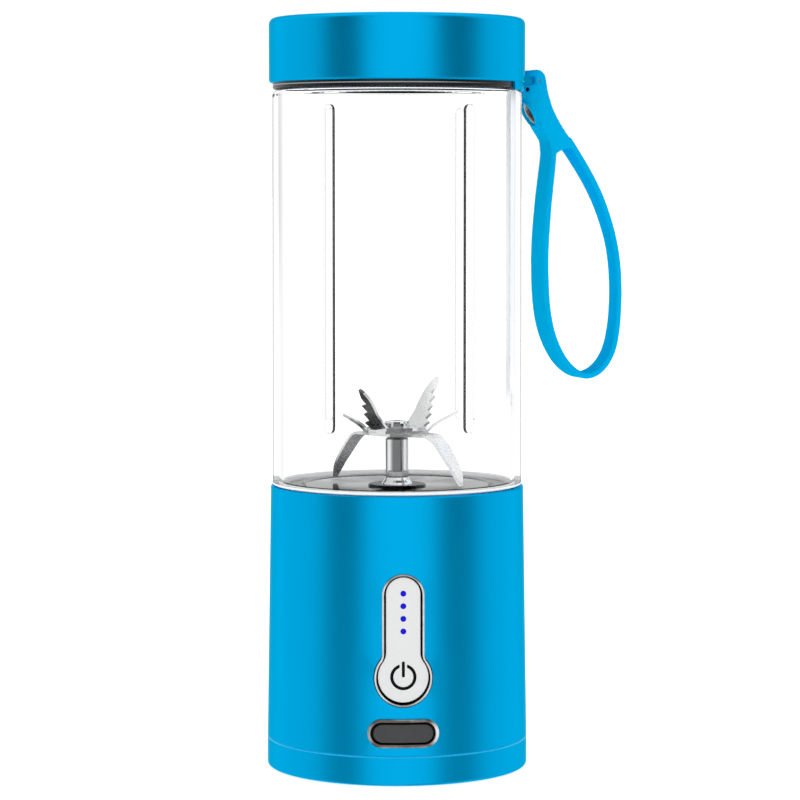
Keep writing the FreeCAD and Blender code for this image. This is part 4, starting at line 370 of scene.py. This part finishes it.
def ground_steel(name, level=0.93, rough=0.27):
    """Ground stainless blade stock: polished above with grain along the arms, painted shade on the undersides,
    and a painted pale, less metallic sheen out along the arms of one side."""
    m, net, s = new_material(name)
    v = net.coords((1.0, 1.0, 7.0))
    lines = net.noise(v, 700.0, 3.0, 0.6)
    cloud = net.noise(net.coords(), 160.0, 3.0)
    nx, ny, nz = net.xyz(net.add("ShaderNodeTexCoord").outputs["Normal"])
    # painted shade: faces turned downwards are darker
    below = net.smooth(net.math("ADD", nz, net.math("MULTIPLY", net.math("SUBTRACT", cloud, 0.5), 0.3)), 0.02, -0.42)
    top = net.mix(cloud, (level * 0.95, level * 0.95, level * 0.95, 1), (level * 1.04, level * 1.04, level * 1.04, 1))
    x, y, z = net.xyz(net.coords())
    # painted sheen: pale, less metallic on the right-hand arms, and in part on the middle blade's left arm and the low
    # blade's bend
    satin = net.smooth(net.math("ADD", x, net.math("MULTIPLY", net.math("SUBTRACT", cloud, 0.5), 0.004)), 0.006, 0.013)
    mid = net.math("MULTIPLY", net.smooth(x, -0.013, -0.018), net.smooth(z, 0.1085, 0.1105))
    mid = net.math("MULTIPLY", mid, net.smooth(z, 0.1200, 0.1180))
    satin = net.math("MAXIMUM", satin, net.math("MULTIPLY", mid, 0.7))
    below = net.math("MULTIPLY", below, net.math("SUBTRACT", 1.0, net.math("MULTIPLY", satin, 0.75)))
    # painted dark reflections towards the tip of the low arm and at the root and tip of the upright one, on the
    # polished side
    lo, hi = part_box("upper_blade")
    root = net.math("MULTIPLY", net.smooth(z, lo[2] + 0.0075, lo[2] + 0.0020), net.smooth(z, lo[2] + 0.0004, lo[2] + 0.0010))
    root = net.math("MULTIPLY", root, net.math("MULTIPLY", net.smooth(x, -0.0044, -0.0054), net.smooth(x, -0.0128, -0.0112)))
    peak = net.math("MULTIPLY", net.smooth(z, hi[2] - 0.0090, hi[2] - 0.0050), net.smooth(x, -0.006, -0.009))
    low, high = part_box("lower_blade")
    tip = net.math("MULTIPLY", net.smooth(z, high[2] - 0.0040, low[2] + 0.0020), net.smooth(x, -0.010, -0.012))
    bend = net.math("MULTIPLY", net.math("MULTIPLY", net.smooth(z, high[2] - 0.0060, high[2] - 0.0025), net.smooth(z, high[2] + 0.0006, high[2] - 0.0002)),
                    net.smooth(x, -0.009, -0.011))
    satin = net.math("MAXIMUM", satin, net.math("MULTIPLY", bend, 0.6))
    painted_dark_reflection = net.math("MAXIMUM", net.math("MAXIMUM", net.math("MULTIPLY", root, 0.85), net.math("MULTIPLY", peak, 0.35)), net.math("MULTIPLY", tip, 0.85))
    colour = net.mix(below, top, (0.30, 0.30, 0.305, 1))
    colour = net.mix(painted_dark_reflection, colour, (0.07, 0.07, 0.07, 1))
    pale = net.mix(net.smooth(lines, 0.35, 0.65), (0.88, 0.88, 0.88, 1), (0.96, 0.96, 0.96, 1))
    net.put(net.mix(net.math("MULTIPLY", satin, net.math("SUBTRACT", 1.0, below)), colour, pale), s.inputs["Base Color"])
    net.put(net.span(lines, 0.3, 0.7, rough - 0.05, rough + 0.08), s.inputs["Roughness"])
    net.put(net.bump(lines, 0.12, 0.000004), s.inputs["Normal"])
    net.put(net.math("SUBTRACT", 1.0, net.math("MULTIPLY", satin, 0.92)), s.inputs["Metallic"])
    s.inputs["Anisotropic"].default_value = 0.4
    return m


def lit_lens(name, first_z, pitch):
    """Blue lens of a status light: a pale spot in the middle that falls off to deep blue at the rim."""
    m, net, s = new_material(name)
    v = net.coords()
    x, y, z = net.xyz(v)
    cell = net.math("WRAP", z, first_z + pitch / 2, first_z - pitch / 2)
    dz = net.math("SUBTRACT", cell, first_z)
    d = net.math("SQRT", net.math("ADD", net.math("MULTIPLY", x, x), net.math("MULTIPLY", dz, dz)))
    glow = net.smooth(d, 0.00005, 0.00075, 1.0, 0.0)
    speck = net.noise(v, 5200.0, 2.0)
    colour = net.mix(glow, (0.004, 0.002, 0.40, 1), (0.012, 0.008, 0.62, 1))
    colour = net.mix(net.math("MULTIPLY", speck, 0.12), colour, (0.002, 0.001, 0.30, 1))
    net.put(colour, s.inputs["Base Color"])
    net.put(colour, s.inputs["Emission Color"])
    s.inputs["Emission Strength"].default_value = 0.42
    net.put(net.span(speck, 0.3, 0.7, 0.3, 0.42), s.inputs["Roughness"])
    s.inputs["Specular IOR Level"].default_value = 0.05
    return m


def press_plate():
    """Gloss white ABS with a faint moulded orange peel."""
    m, net, s = new_material("press_plate")
    v = net.coords()
    big = net.noise(v, 140.0, 3.0)
    peel = net.noise(v, 900.0, 2.0)
    net.put(net.mix(big, (0.796, 0.795, 0.793, 1), (0.806, 0.805, 0.803, 1)), s.inputs["Base Color"])
    net.put(net.span(big, 0.3, 0.7, 0.27, 0.30), s.inputs["Roughness"])
    net.put(net.bump(peel, 0.12, 0.00001), s.inputs["Normal"])
    s.inputs["Specular IOR Level"].default_value = 0.45
    return m


def rivet_head():
    """Blackened rivet with painted highlight streaks of brighter, smoother metal."""
    m, net, s = new_material("dark_steel")
    v = net.coords((1.0, 1.0, 0.45), (0.0, 0.35, 0.0))
    # painted highlights: brighter, smoother streaks across the black metal
    highlight_streaks = net.smooth(net.noise(v, 620.0, 2.0, 0.5), 0.50, 0.62)
    net.put(net.mix(highlight_streaks, (0.020, 0.014, 0.012, 1), (0.36, 0.33, 0.32, 1)), s.inputs["Base Color"])
    net.put(net.span(highlight_streaks, 0.0, 1.0, 0.22, 0.12), s.inputs["Roughness"])
    net.put(net.bump(net.noise(net.coords(), 1200.0, 2.0), 0.25, 0.00001), s.inputs["Normal"])
    s.inputs["Metallic"].default_value = 1.0
    return m


def lid_ring():
    """Black gloss ring under the lid, its near-black partly its own colour and partly painted shade of the gap under
    the lid; one painted highlight line, then dark gloss.
    """
    m, net, s = new_material("collar_gloss")
    v = net.coords()
    x, y, z = net.xyz(v)
    haze_and_glare = net.noise(v, 160.0, 3.0)
    # painted highlight: a light line round the ring just below its top, fading out towards the right
    line = net.math("MULTIPLY", net.smooth(z, 0.20850, 0.20862), net.smooth(z, 0.20892, 0.20880))
    line = net.math("MULTIPLY", line, net.smooth(x, 0.030, 0.006))
    colour = net.mix(haze_and_glare, (0.003, 0.003, 0.003, 1), (0.010, 0.010, 0.011, 1))
    net.put(net.mix(line, colour, (0.34, 0.34, 0.35, 1)), s.inputs["Base Color"])
    net.put(net.span(haze_and_glare, 0.3, 0.7, 0.16, 0.24), s.inputs["Roughness"])
    net.put(net.bump(net.noise(v, 1300.0, 2.0), 0.2, 0.000008), s.inputs["Normal"])
    s.inputs["Specular IOR Level"].default_value = 0.22
    return m


def chrome_trim():
    """Plated trim with faint wipes; a little below the face the colour turns to painted shade, so the wall in the gap
    is dark and not metallic.
    """
    m, net, s = new_material("chrome_trim")
    v = net.coords()
    x, y, z = net.xyz(v)
    r = net.math("SQRT", net.math("ADD", net.math("MULTIPLY", x, x), net.math("MULTIPLY", y, y)))
    # painted shade: where the trim's wall sinks into the gap by the shell it is coloured near black, rough and not
    # metallic
    shell = net.span(z, 0.0092, 0.0865, 0.040, 0.0388)
    above = net.math("SUBTRACT", r, shell)
    clear_of_gap = net.smooth(above, 0.00010, 0.00032)
    wipe = net.noise(v, 240.0, 4.0)
    bright = net.mix(wipe, (0.92, 0.905, 0.89, 1), (1.0, 0.985, 0.97, 1))
    # painted reflections: dark and bright stretches round each ring, the bright ones less metallic
    port = net.math("LESS_THAN", z, 0.0235)
    pz = net.math("SUBTRACT", z, 0.01605)
    drift = net.math("MULTIPLY", net.math("SUBTRACT", net.noise(v, 330.0, 2.0), 0.5), 0.5)
    at_right = net.smooth(x, 0.0072, 0.0108)
    at_left = net.math("MULTIPLY", net.smooth(x, -0.0084, -0.0108), 0.42)
    middle = net.math("MULTIPLY", net.math("MULTIPLY", net.smooth(x, -0.0050, -0.0010), net.smooth(x, 0.0050, 0.0010)),
                      net.smooth(pz, 0.0036, 0.0048, 0.0, 0.60))
    foot = net.math("MULTIPLY", net.smooth(pz, -0.0035, -0.0045), net.smooth(net.math("ABSOLUTE", x), 0.001, 0.006, 0.22, 0.5))
    port_tone = net.math("MAXIMUM", net.math("MAXIMUM", at_right, at_left), net.math("MAXIMUM", middle, foot))
    panel_tone = net.math("MULTIPLY", net.smooth(z, 0.0620, 0.0600), net.smooth(z, 0.0245, 0.0275))
    panel_tone = net.math("ADD", net.math("MULTIPLY", panel_tone, 0.50), 0.32)
    tone = net.math("ADD", net.math("MULTIPLY", port, port_tone), net.math("MULTIPLY", net.math("SUBTRACT", 1.0, port), panel_tone))
    tone = net.math("ADD", tone, drift, clamp=True)
    bright = net.mix(tone, (0.135, 0.115, 0.108, 1), bright)
    net.put(net.mix(clear_of_gap, (0.004, 0.004, 0.004, 1), bright), s.inputs["Base Color"])
    painted_sheen = net.math("MULTIPLY", net.smooth(tone, 0.25, 0.95), 0.50)
    net.put(net.math("MAXIMUM", net.math("MULTIPLY", clear_of_gap, net.math("SUBTRACT", 1.0, painted_sheen)), 0.02), s.inputs["Metallic"])
    rough = net.span(wipe, 0.3, 0.7, 0.06, 0.13)
    net.put(net.math("ADD", rough, net.math("MULTIPLY", net.math("SUBTRACT", 1.0, clear_of_gap), 0.4)), s.inputs["Roughness"])
    net.put(net.bump(net.noise(v, 1600.0, 2.0), 0.2, 0.000004), s.inputs["Normal"])
    return m


MADE = {
    "blue_shell": blue_lacquer(),
    "clear_cup": clear_cup(),
    "white_plate": press_plate(),
    "blue_light": lit_lens("blue_light", 0.0466, 0.00375),
    "mirror_steel": turned_steel("mirror_steel"),
    "blade_steel": ground_steel("blade_steel"),
    "chrome_trim": chrome_trim(),
    "collar_gloss": lid_ring(),
    "symbol_black": plain("symbol_black", (0.0015, 0.0015, 0.002), 0.0, 0.45, 0.08, 0.25, 2400.0, 0.000006, spec=0.12),
    "port_rubber": plain("port_rubber", (0.056, 0.056, 0.058), 0.0, 0.62, 0.1, 0.12, 2600.0, 0.000016, 0.35, 220.0, spec=0.35),
    "rubber_foot": plain("rubber_foot", (0.012, 0.012, 0.013), 0.0, 0.72, 0.1, 0.2, 1400.0, 0.00003, 0.4, 90.0, spec=0.3),
    "steel": plain("steel", (0.30, 0.30, 0.31), 1.0, 0.26, 0.08, 0.06, 1100.0, 0.00001, 0.2, 150.0),
    "dark_steel": rivet_head(),
    "black_plastic": plain("black_plastic", (0.012, 0.012, 0.013), 0.0, 0.5, 0.1, 0.2, 1100.0, 0.00003, 0.35, 120.0, spec=0.3),
    "seat_plastic": plain("seat_plastic", (0.62, 0.63, 0.64), 0.0, 0.42, 0.08, 0.04, 900.0, 0.00002, 0.3, 80.0),
    "liner_plastic": plain("liner_plastic", (0.74, 0.75, 0.76), 0.0, 0.42, 0.08, 0.03, 800.0, 0.00002, 0.3, 70.0),
    "seal_silicone": plain("seal_silicone", (0.66, 0.67, 0.68), 0.0, 0.5, 0.1, 0.05, 1500.0, 0.00002, 0.3, 120.0, spec=0.35),
    "seal_black": plain("seal_black", (0.002, 0.002, 0.002), 0.0, 0.14, 0.05, 0.2, 1500.0, 0.000006, 0.15, 120.0, spec=0.25),
    "zinc_can": plain("zinc_can", (0.50, 0.51, 0.52), 1.0, 0.34, 0.1, 0.12, 380.0, 0.00002, 0.3, 60.0),
    "magnet_ferrite": plain("magnet_ferrite", (0.045, 0.045, 0.05), 0.3, 0.6, 0.1, 0.25, 1700.0, 0.00003, 0.4, 200.0),
    "bronze": plain("bronze", (0.50, 0.30, 0.11), 1.0, 0.36, 0.1, 0.15, 2400.0, 0.00002, 0.4, 200.0),
    "copper": plain("copper", (0.70, 0.27, 0.12), 1.0, 0.28, 0.08, 0.12, 2400.0, 0.00002, 0.4, 200.0),
    "cell_wrap": plain("cell_wrap", (0.03, 0.20, 0.10), 0.0, 0.3, 0.06, 0.08, 500.0, 0.00002, 0.2, 90.0),
    "board_green": plain("board_green", (0.01, 0.11, 0.04), 0.0, 0.34, 0.08, 0.2, 900.0, 0.00001, 0.3, 300.0),
    "light_chip": plain("light_chip", (0.72, 0.66, 0.40), 0.0, 0.4, 0.08, 0.1, 1500.0, 0.00001, 0.3, 600.0),
    "clear_pipe": plain("clear_pipe", (0.86, 0.88, 0.9), 0.0, 0.12, 0.04, 0.03, 900.0, 0.00001, 0.2, 300.0),
    "chip_black": plain("chip_black", (0.01, 0.01, 0.011), 0.0, 0.48, 0.08, 0.2, 1800.0, 0.00002, 0.3, 400.0),
    "lamination": plain("lamination", (0.16, 0.16, 0.17), 0.9, 0.5, 0.1, 0.2, 900.0, 0.00003, 0.4, 200.0, stretch=(1, 1, 12)),
    "blue_silicone": silicone("blue_silicone", (0.0003, 0.43, 0.80)),
}

slot_of = {}
for part in frame["record"]["subparts"]:
    slot_of[part["node"]] = part["material_slot"]
for name, obj in NODES.items():
    m = MADE[slot_of[name]]
    obj.data.materials.clear()
    obj.data.materials.append(m)

# ------------------------------------------------------------------ strap
LOOP = [(49.9, 193.2), (49.7, 188.5), (49.1, 182.5), (48.2, 175), (47.5, 167.5), (47, 160), (46.9, 152.5), (47.1, 146),
        (47.7, 139.5), (49.1, 133), (51.3, 127.6), (54.4, 122.9), (57.4, 120.3), (60.7, 119), (64.1, 119.6), (67.3, 122),
        (69.8, 125.9), (71.4, 131.5), (72.2, 138.5), (72.4, 146), (72, 153), (70.9, 160), (68.9, 167), (66, 174.3),
        (62.3, 181.2), (58.2, 187.5), (54.6, 192.6)]


def applied(obj):
    """The object's mesh with its modifiers applied, as new mesh data."""
    dg = bpy.context.evaluated_depsgraph_get()
    made = bpy.data.meshes.new_from_object(obj.evaluated_get(dg))
    obj.modifiers.clear()
    obj.data = made
    return obj


def ease(t):
    t = np.clip(t, 0.0, 1.0)
    return t * t * (3.0 - 2.0 * t)


def make_strap():
    src = NODES["strap_loop"]
    mesh = src.data.copy()
    mesh.materials.clear()
    mesh.materials.append(MADE["blue_silicone"])
    obj = bpy.data.objects.new("strap_soft", mesh)
    scene.collection.objects.link(obj)
    rm = obj.modifiers.new("skin", "REMESH")
    rm.mode = "VOXEL"
    rm.voxel_size = 0.00026
    rm.use_smooth_shade = True
    applied(obj)
    sm = obj.modifiers.new("soften", "SMOOTH")
    sm.factor = 0.5
    sm.iterations = 7
    applied(obj)

    me = obj.data
    co = np.empty(len(me.vertices) * 3)
    me.vertices.foreach_get("co", co)
    co = co.reshape(-1, 3)
    c, s = math.cos(TURN), math.sin(TURN)
    r = co[:, 0] * c + co[:, 1] * s
    w = -co[:, 0] * s + co[:, 1] * c
    z = co[:, 2].copy()
    away = np.sqrt((1.40 * (r - HOLE_R)) ** 2 + (0.85 * (z - HOLE_Z)) ** 2)
    w = w + np.where(w < 0, 0.0013 * (1.0 - ease(away / 0.00075)), 0.0)

    # the loop's limbs turn a little about themselves, as a soft strap does when it hangs
    line = np.array(LOOP) / 1000.0
    t_line = np.linspace(0, len(line) - 1, 900)
    fine = np.stack([np.interp(t_line, np.arange(len(line)), line[:, k]) for k in (0, 1)], 1)
    best = np.full(len(co), 1e9)
    where = np.zeros(len(co), int)
    for i in range(len(fine)):
        d = (r - fine[i, 0]) ** 2 + (z - fine[i, 1]) ** 2
        take = d < best
        best[take] = d[take]
        where[take] = i
    u = t_line[where]
    # degrees of turn against the position along the loop
    turn_at = np.interp(u, [0, 1.0, 4, 8, 11, 13, 15, 18, 21, 24, 26], [0, 0.3, 3.7, 3.7, 1.5, -1.0, -4.0, -8.3, -8.3, -4.0, 0])
    cr, cw = fine[where, 0], 0.0
    dr, dw = r - cr, w - cw
    ang = np.radians(turn_at)
    r2 = cr + dr * np.cos(ang) - dw * np.sin(ang)
    w2 = dr * np.sin(ang) + dw * np.cos(ang)
    co[:, 0] = r2 * c - w2 * s
    co[:, 1] = r2 * s + w2 * c
    co[:, 2] = z
    me.vertices.foreach_set("co", co.ravel())
    me.update()
    for p in me.polygons:
        p.use_smooth = True
    obj.visible_glossy = False
    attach(obj, "strap")
    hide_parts("strap_loop")
    return obj


make_strap()

# ------------------------------------------------------------------ stage
def make_floor():
    m, net, s = new_material("pale_floor")
    v = net.coords()
    net.put(net.mix(net.noise(v, 3.0, 4.0), (0.86, 0.86, 0.865, 1), (0.885, 0.885, 0.885, 1)), s.inputs["Base Color"])
    net.put(net.span(net.noise(v, 40.0, 3.0), 0.3, 0.7, 0.7, 0.85), s.inputs["Roughness"])
    net.put(net.bump(net.noise(v, 700.0, 2.0), 0.05, 0.0001), s.inputs["Normal"])
    s.inputs["Specular IOR Level"].default_value = 0.1
    s.inputs["Emission Color"].default_value = (1, 1, 1, 1)
    s.inputs["Emission Strength"].default_value = 0.62
    mesh = bpy.data.meshes.new("floor")
    k = 30.0
    mesh.from_pydata([(-k, -k, 0), (k, -k, 0), (k, k, 0), (-k, k, 0)], [], [(0, 1, 2, 3)])
    mesh.materials.append(m)
    obj = bpy.data.objects.new("floor", mesh)
    scene.collection.objects.link(obj)
    obj.visible_glossy = False
    obj.visible_transmission = False


make_floor()


def make_world():
    """A white room: a broad soft box in front, darker gaps either side of it, and white walls round the sides and back."""
    world = bpy.data.worlds.new("studio")
    scene.world = world
    world.use_nodes = True
    net = Net(world.node_tree)
    net.nodes.clear()
    out = net.add("ShaderNodeOutputWorld")
    tc = net.add("ShaderNodeTexCoord")
    x, y, z = net.xyz(tc.outputs["Generated"])
    az = net.math("ARCTAN2", x, net.math("MULTIPLY", y, -1.0))
    az = net.math("SUBTRACT", az, math.radians(CAM_AZIMUTH))
    unit = net.math("FRACT", net.math("ADD", net.math("DIVIDE", az, 2 * math.pi), 1.5))   # 0.5 is the front
    el = net.math("MULTIPLY", net.math("ARCSINE", z), 180.0 / math.pi)

    def ring(stops):
        r = net.add("ShaderNodeValToRGB")
        r.color_ramp.interpolation = "EASE"
        e = r.color_ramp.elements
        while len(e) > 1:
            e.remove(e[-1])
        for i, (deg, v) in enumerate(stops):
            pos = 0.5 + deg / 360.0
            item = e[0] if i == 0 else e.new(pos)
            item.position = pos
            item.color = (v, v, v, 1)
        net.put(unit, r.inputs[0])
        return r.outputs[0]

    walls = ring([(-180, 0.92), (-163, 0.70), (-150, 0.74), (-135, 0.97), (-115, 0.86), (-80, 0.82), (-54, 0.20),
                  (-40, 0.20), (-20, 1.0), (25, 1.0), (47, 0.20), (62, 0.20), (90, 0.82), (115, 0.88), (135, 0.97),
                  (150, 0.72), (163, 0.70), (180, 0.92)])
    low = net.smooth(el, 3.0, -12.0, 0.0, 0.42)
    walls = net.mix(low, walls, (0.93, 0.93, 0.93, 1))
    top = net.smooth(el, 38.0, 62.0, 0.0, 1.0)
    walls = net.mix(top, walls, (1.0, 1.0, 1.0, 1))
    through = ring([(-180, 1.0), (-64, 1.0), (-56, 0.6), (-48, 0.6), (-36, 1.0), (36, 1.0), (48, 0.6), (56, 0.6),
                    (64, 1.0), (180, 1.0)])
    path = net.add("ShaderNodeLightPath")

    # what polished metal inside the cup mirrors: grey ahead, a dark strip beside it, bright sides, darker below
    steel = ring([(-180, 1.0), (-145, 0.9), (-134, 0.09), (-125, 0.30), (-114, 0.45), (-100, 0.85), (-90, 1.0), (-71, 0.9),
                  (-60, 0.57), (-49, 0.37), (-39, 0.22), (30, 0.215), (40, 0.09), (50, 0.015), (56, 0.10), (62, 0.28),
                  (72, 0.9), (90, 0.95), (101, 0.71), (118, 0.5), (140, 0.72), (160, 1.0), (180, 1.0)])
    right = ring([(-180, 0.95), (-150, 0.70), (-100, 0.70), (-30, 0.8), (30, 0.95), (100, 1.0), (150, 1.0), (180, 0.95)])
    under = ring([(-180, 0.30), (-150, 0.24), (-100, 0.22), (-60, 0.10), (60, 0.10), (110, 0.16), (150, 0.30), (180, 0.30)])
    behind = net.math("MULTIPLY", net.math("SUBTRACT", net.math("FRACT", net.math("ADD", unit, 0.5)), 0.5), 360.0)
    off = net.math("ABSOLUTE", behind)
    band = net.add("ShaderNodeValToRGB")
    band.color_ramp.interpolation = "EASE"
    stops = [(0.0, 0.75), (2.2, 0.80), (3.2, 0.30), (4.2, 0.16), (5.2, 0.45), (6.4, 0.62), (7.2, 0.34), (8.6, 0.5),
             (10.0, 0.78), (14.0, 0.95)]
    e = band.color_ramp.elements
    while len(e) > 1:
        e.remove(e[-1])
    for i, (deg, value) in enumerate(stops):
        item = e[0] if i == 0 else e.new(deg / 14.0)
        item.position = deg / 14.0
        item.color = (value, value, value, 1)
    net.put(net.math("DIVIDE", el, 14.0), band.inputs[0])
    light_bar = net.math("MULTIPLY", net.smooth(off, 1.30, 1.42), net.smooth(off, 2.62, 2.50))
    patch = net.mix(net.math("MULTIPLY", light_bar, 0.6), band.outputs[0], (0.72, 0.72, 0.72, 1))
    near_back = net.math("MULTIPLY", net.smooth(off, 24.0, 12.0), net.smooth(el, 14.0, 11.0))
    near_back = net.math("MULTIPLY", near_back, net.smooth(el, -3.0, 0.0))
    steel = net.mix(net.smooth(el, 10.0, 24.0, 0.0, 1.0), steel, right)
    steel = net.mix(net.smooth(el, -8.0, -20.0, 0.0, 1.0), steel, under)
    steel = net.mix(near_back, steel, patch)

    bright_through = net.mix(1.0, through, (1.22, 1.22, 1.22, 1), "MULTIPLY")
    mirrored = net.math("GREATER_THAN", path.outputs["Glossy Depth"], 0.5)
    inside = net.math("GREATER_THAN", path.outputs["Transmission Depth"], 0.5)
    colour = net.mix(path.outputs["Is Transmission Ray"], walls, bright_through)
    colour = net.mix(net.math("MULTIPLY", mirrored, inside), colour, steel)
    colour = net.mix(path.outputs["Is Camera Ray"], colour, (1.05, 1.05, 1.05, 1))
    bg = net.add("ShaderNodeBackground")
    net.put(colour, bg.inputs["Color"])
    bg.inputs["Strength"].default_value = 1.0
    net.links.new(bg.outputs[0], out.inputs["Surface"])


make_world()
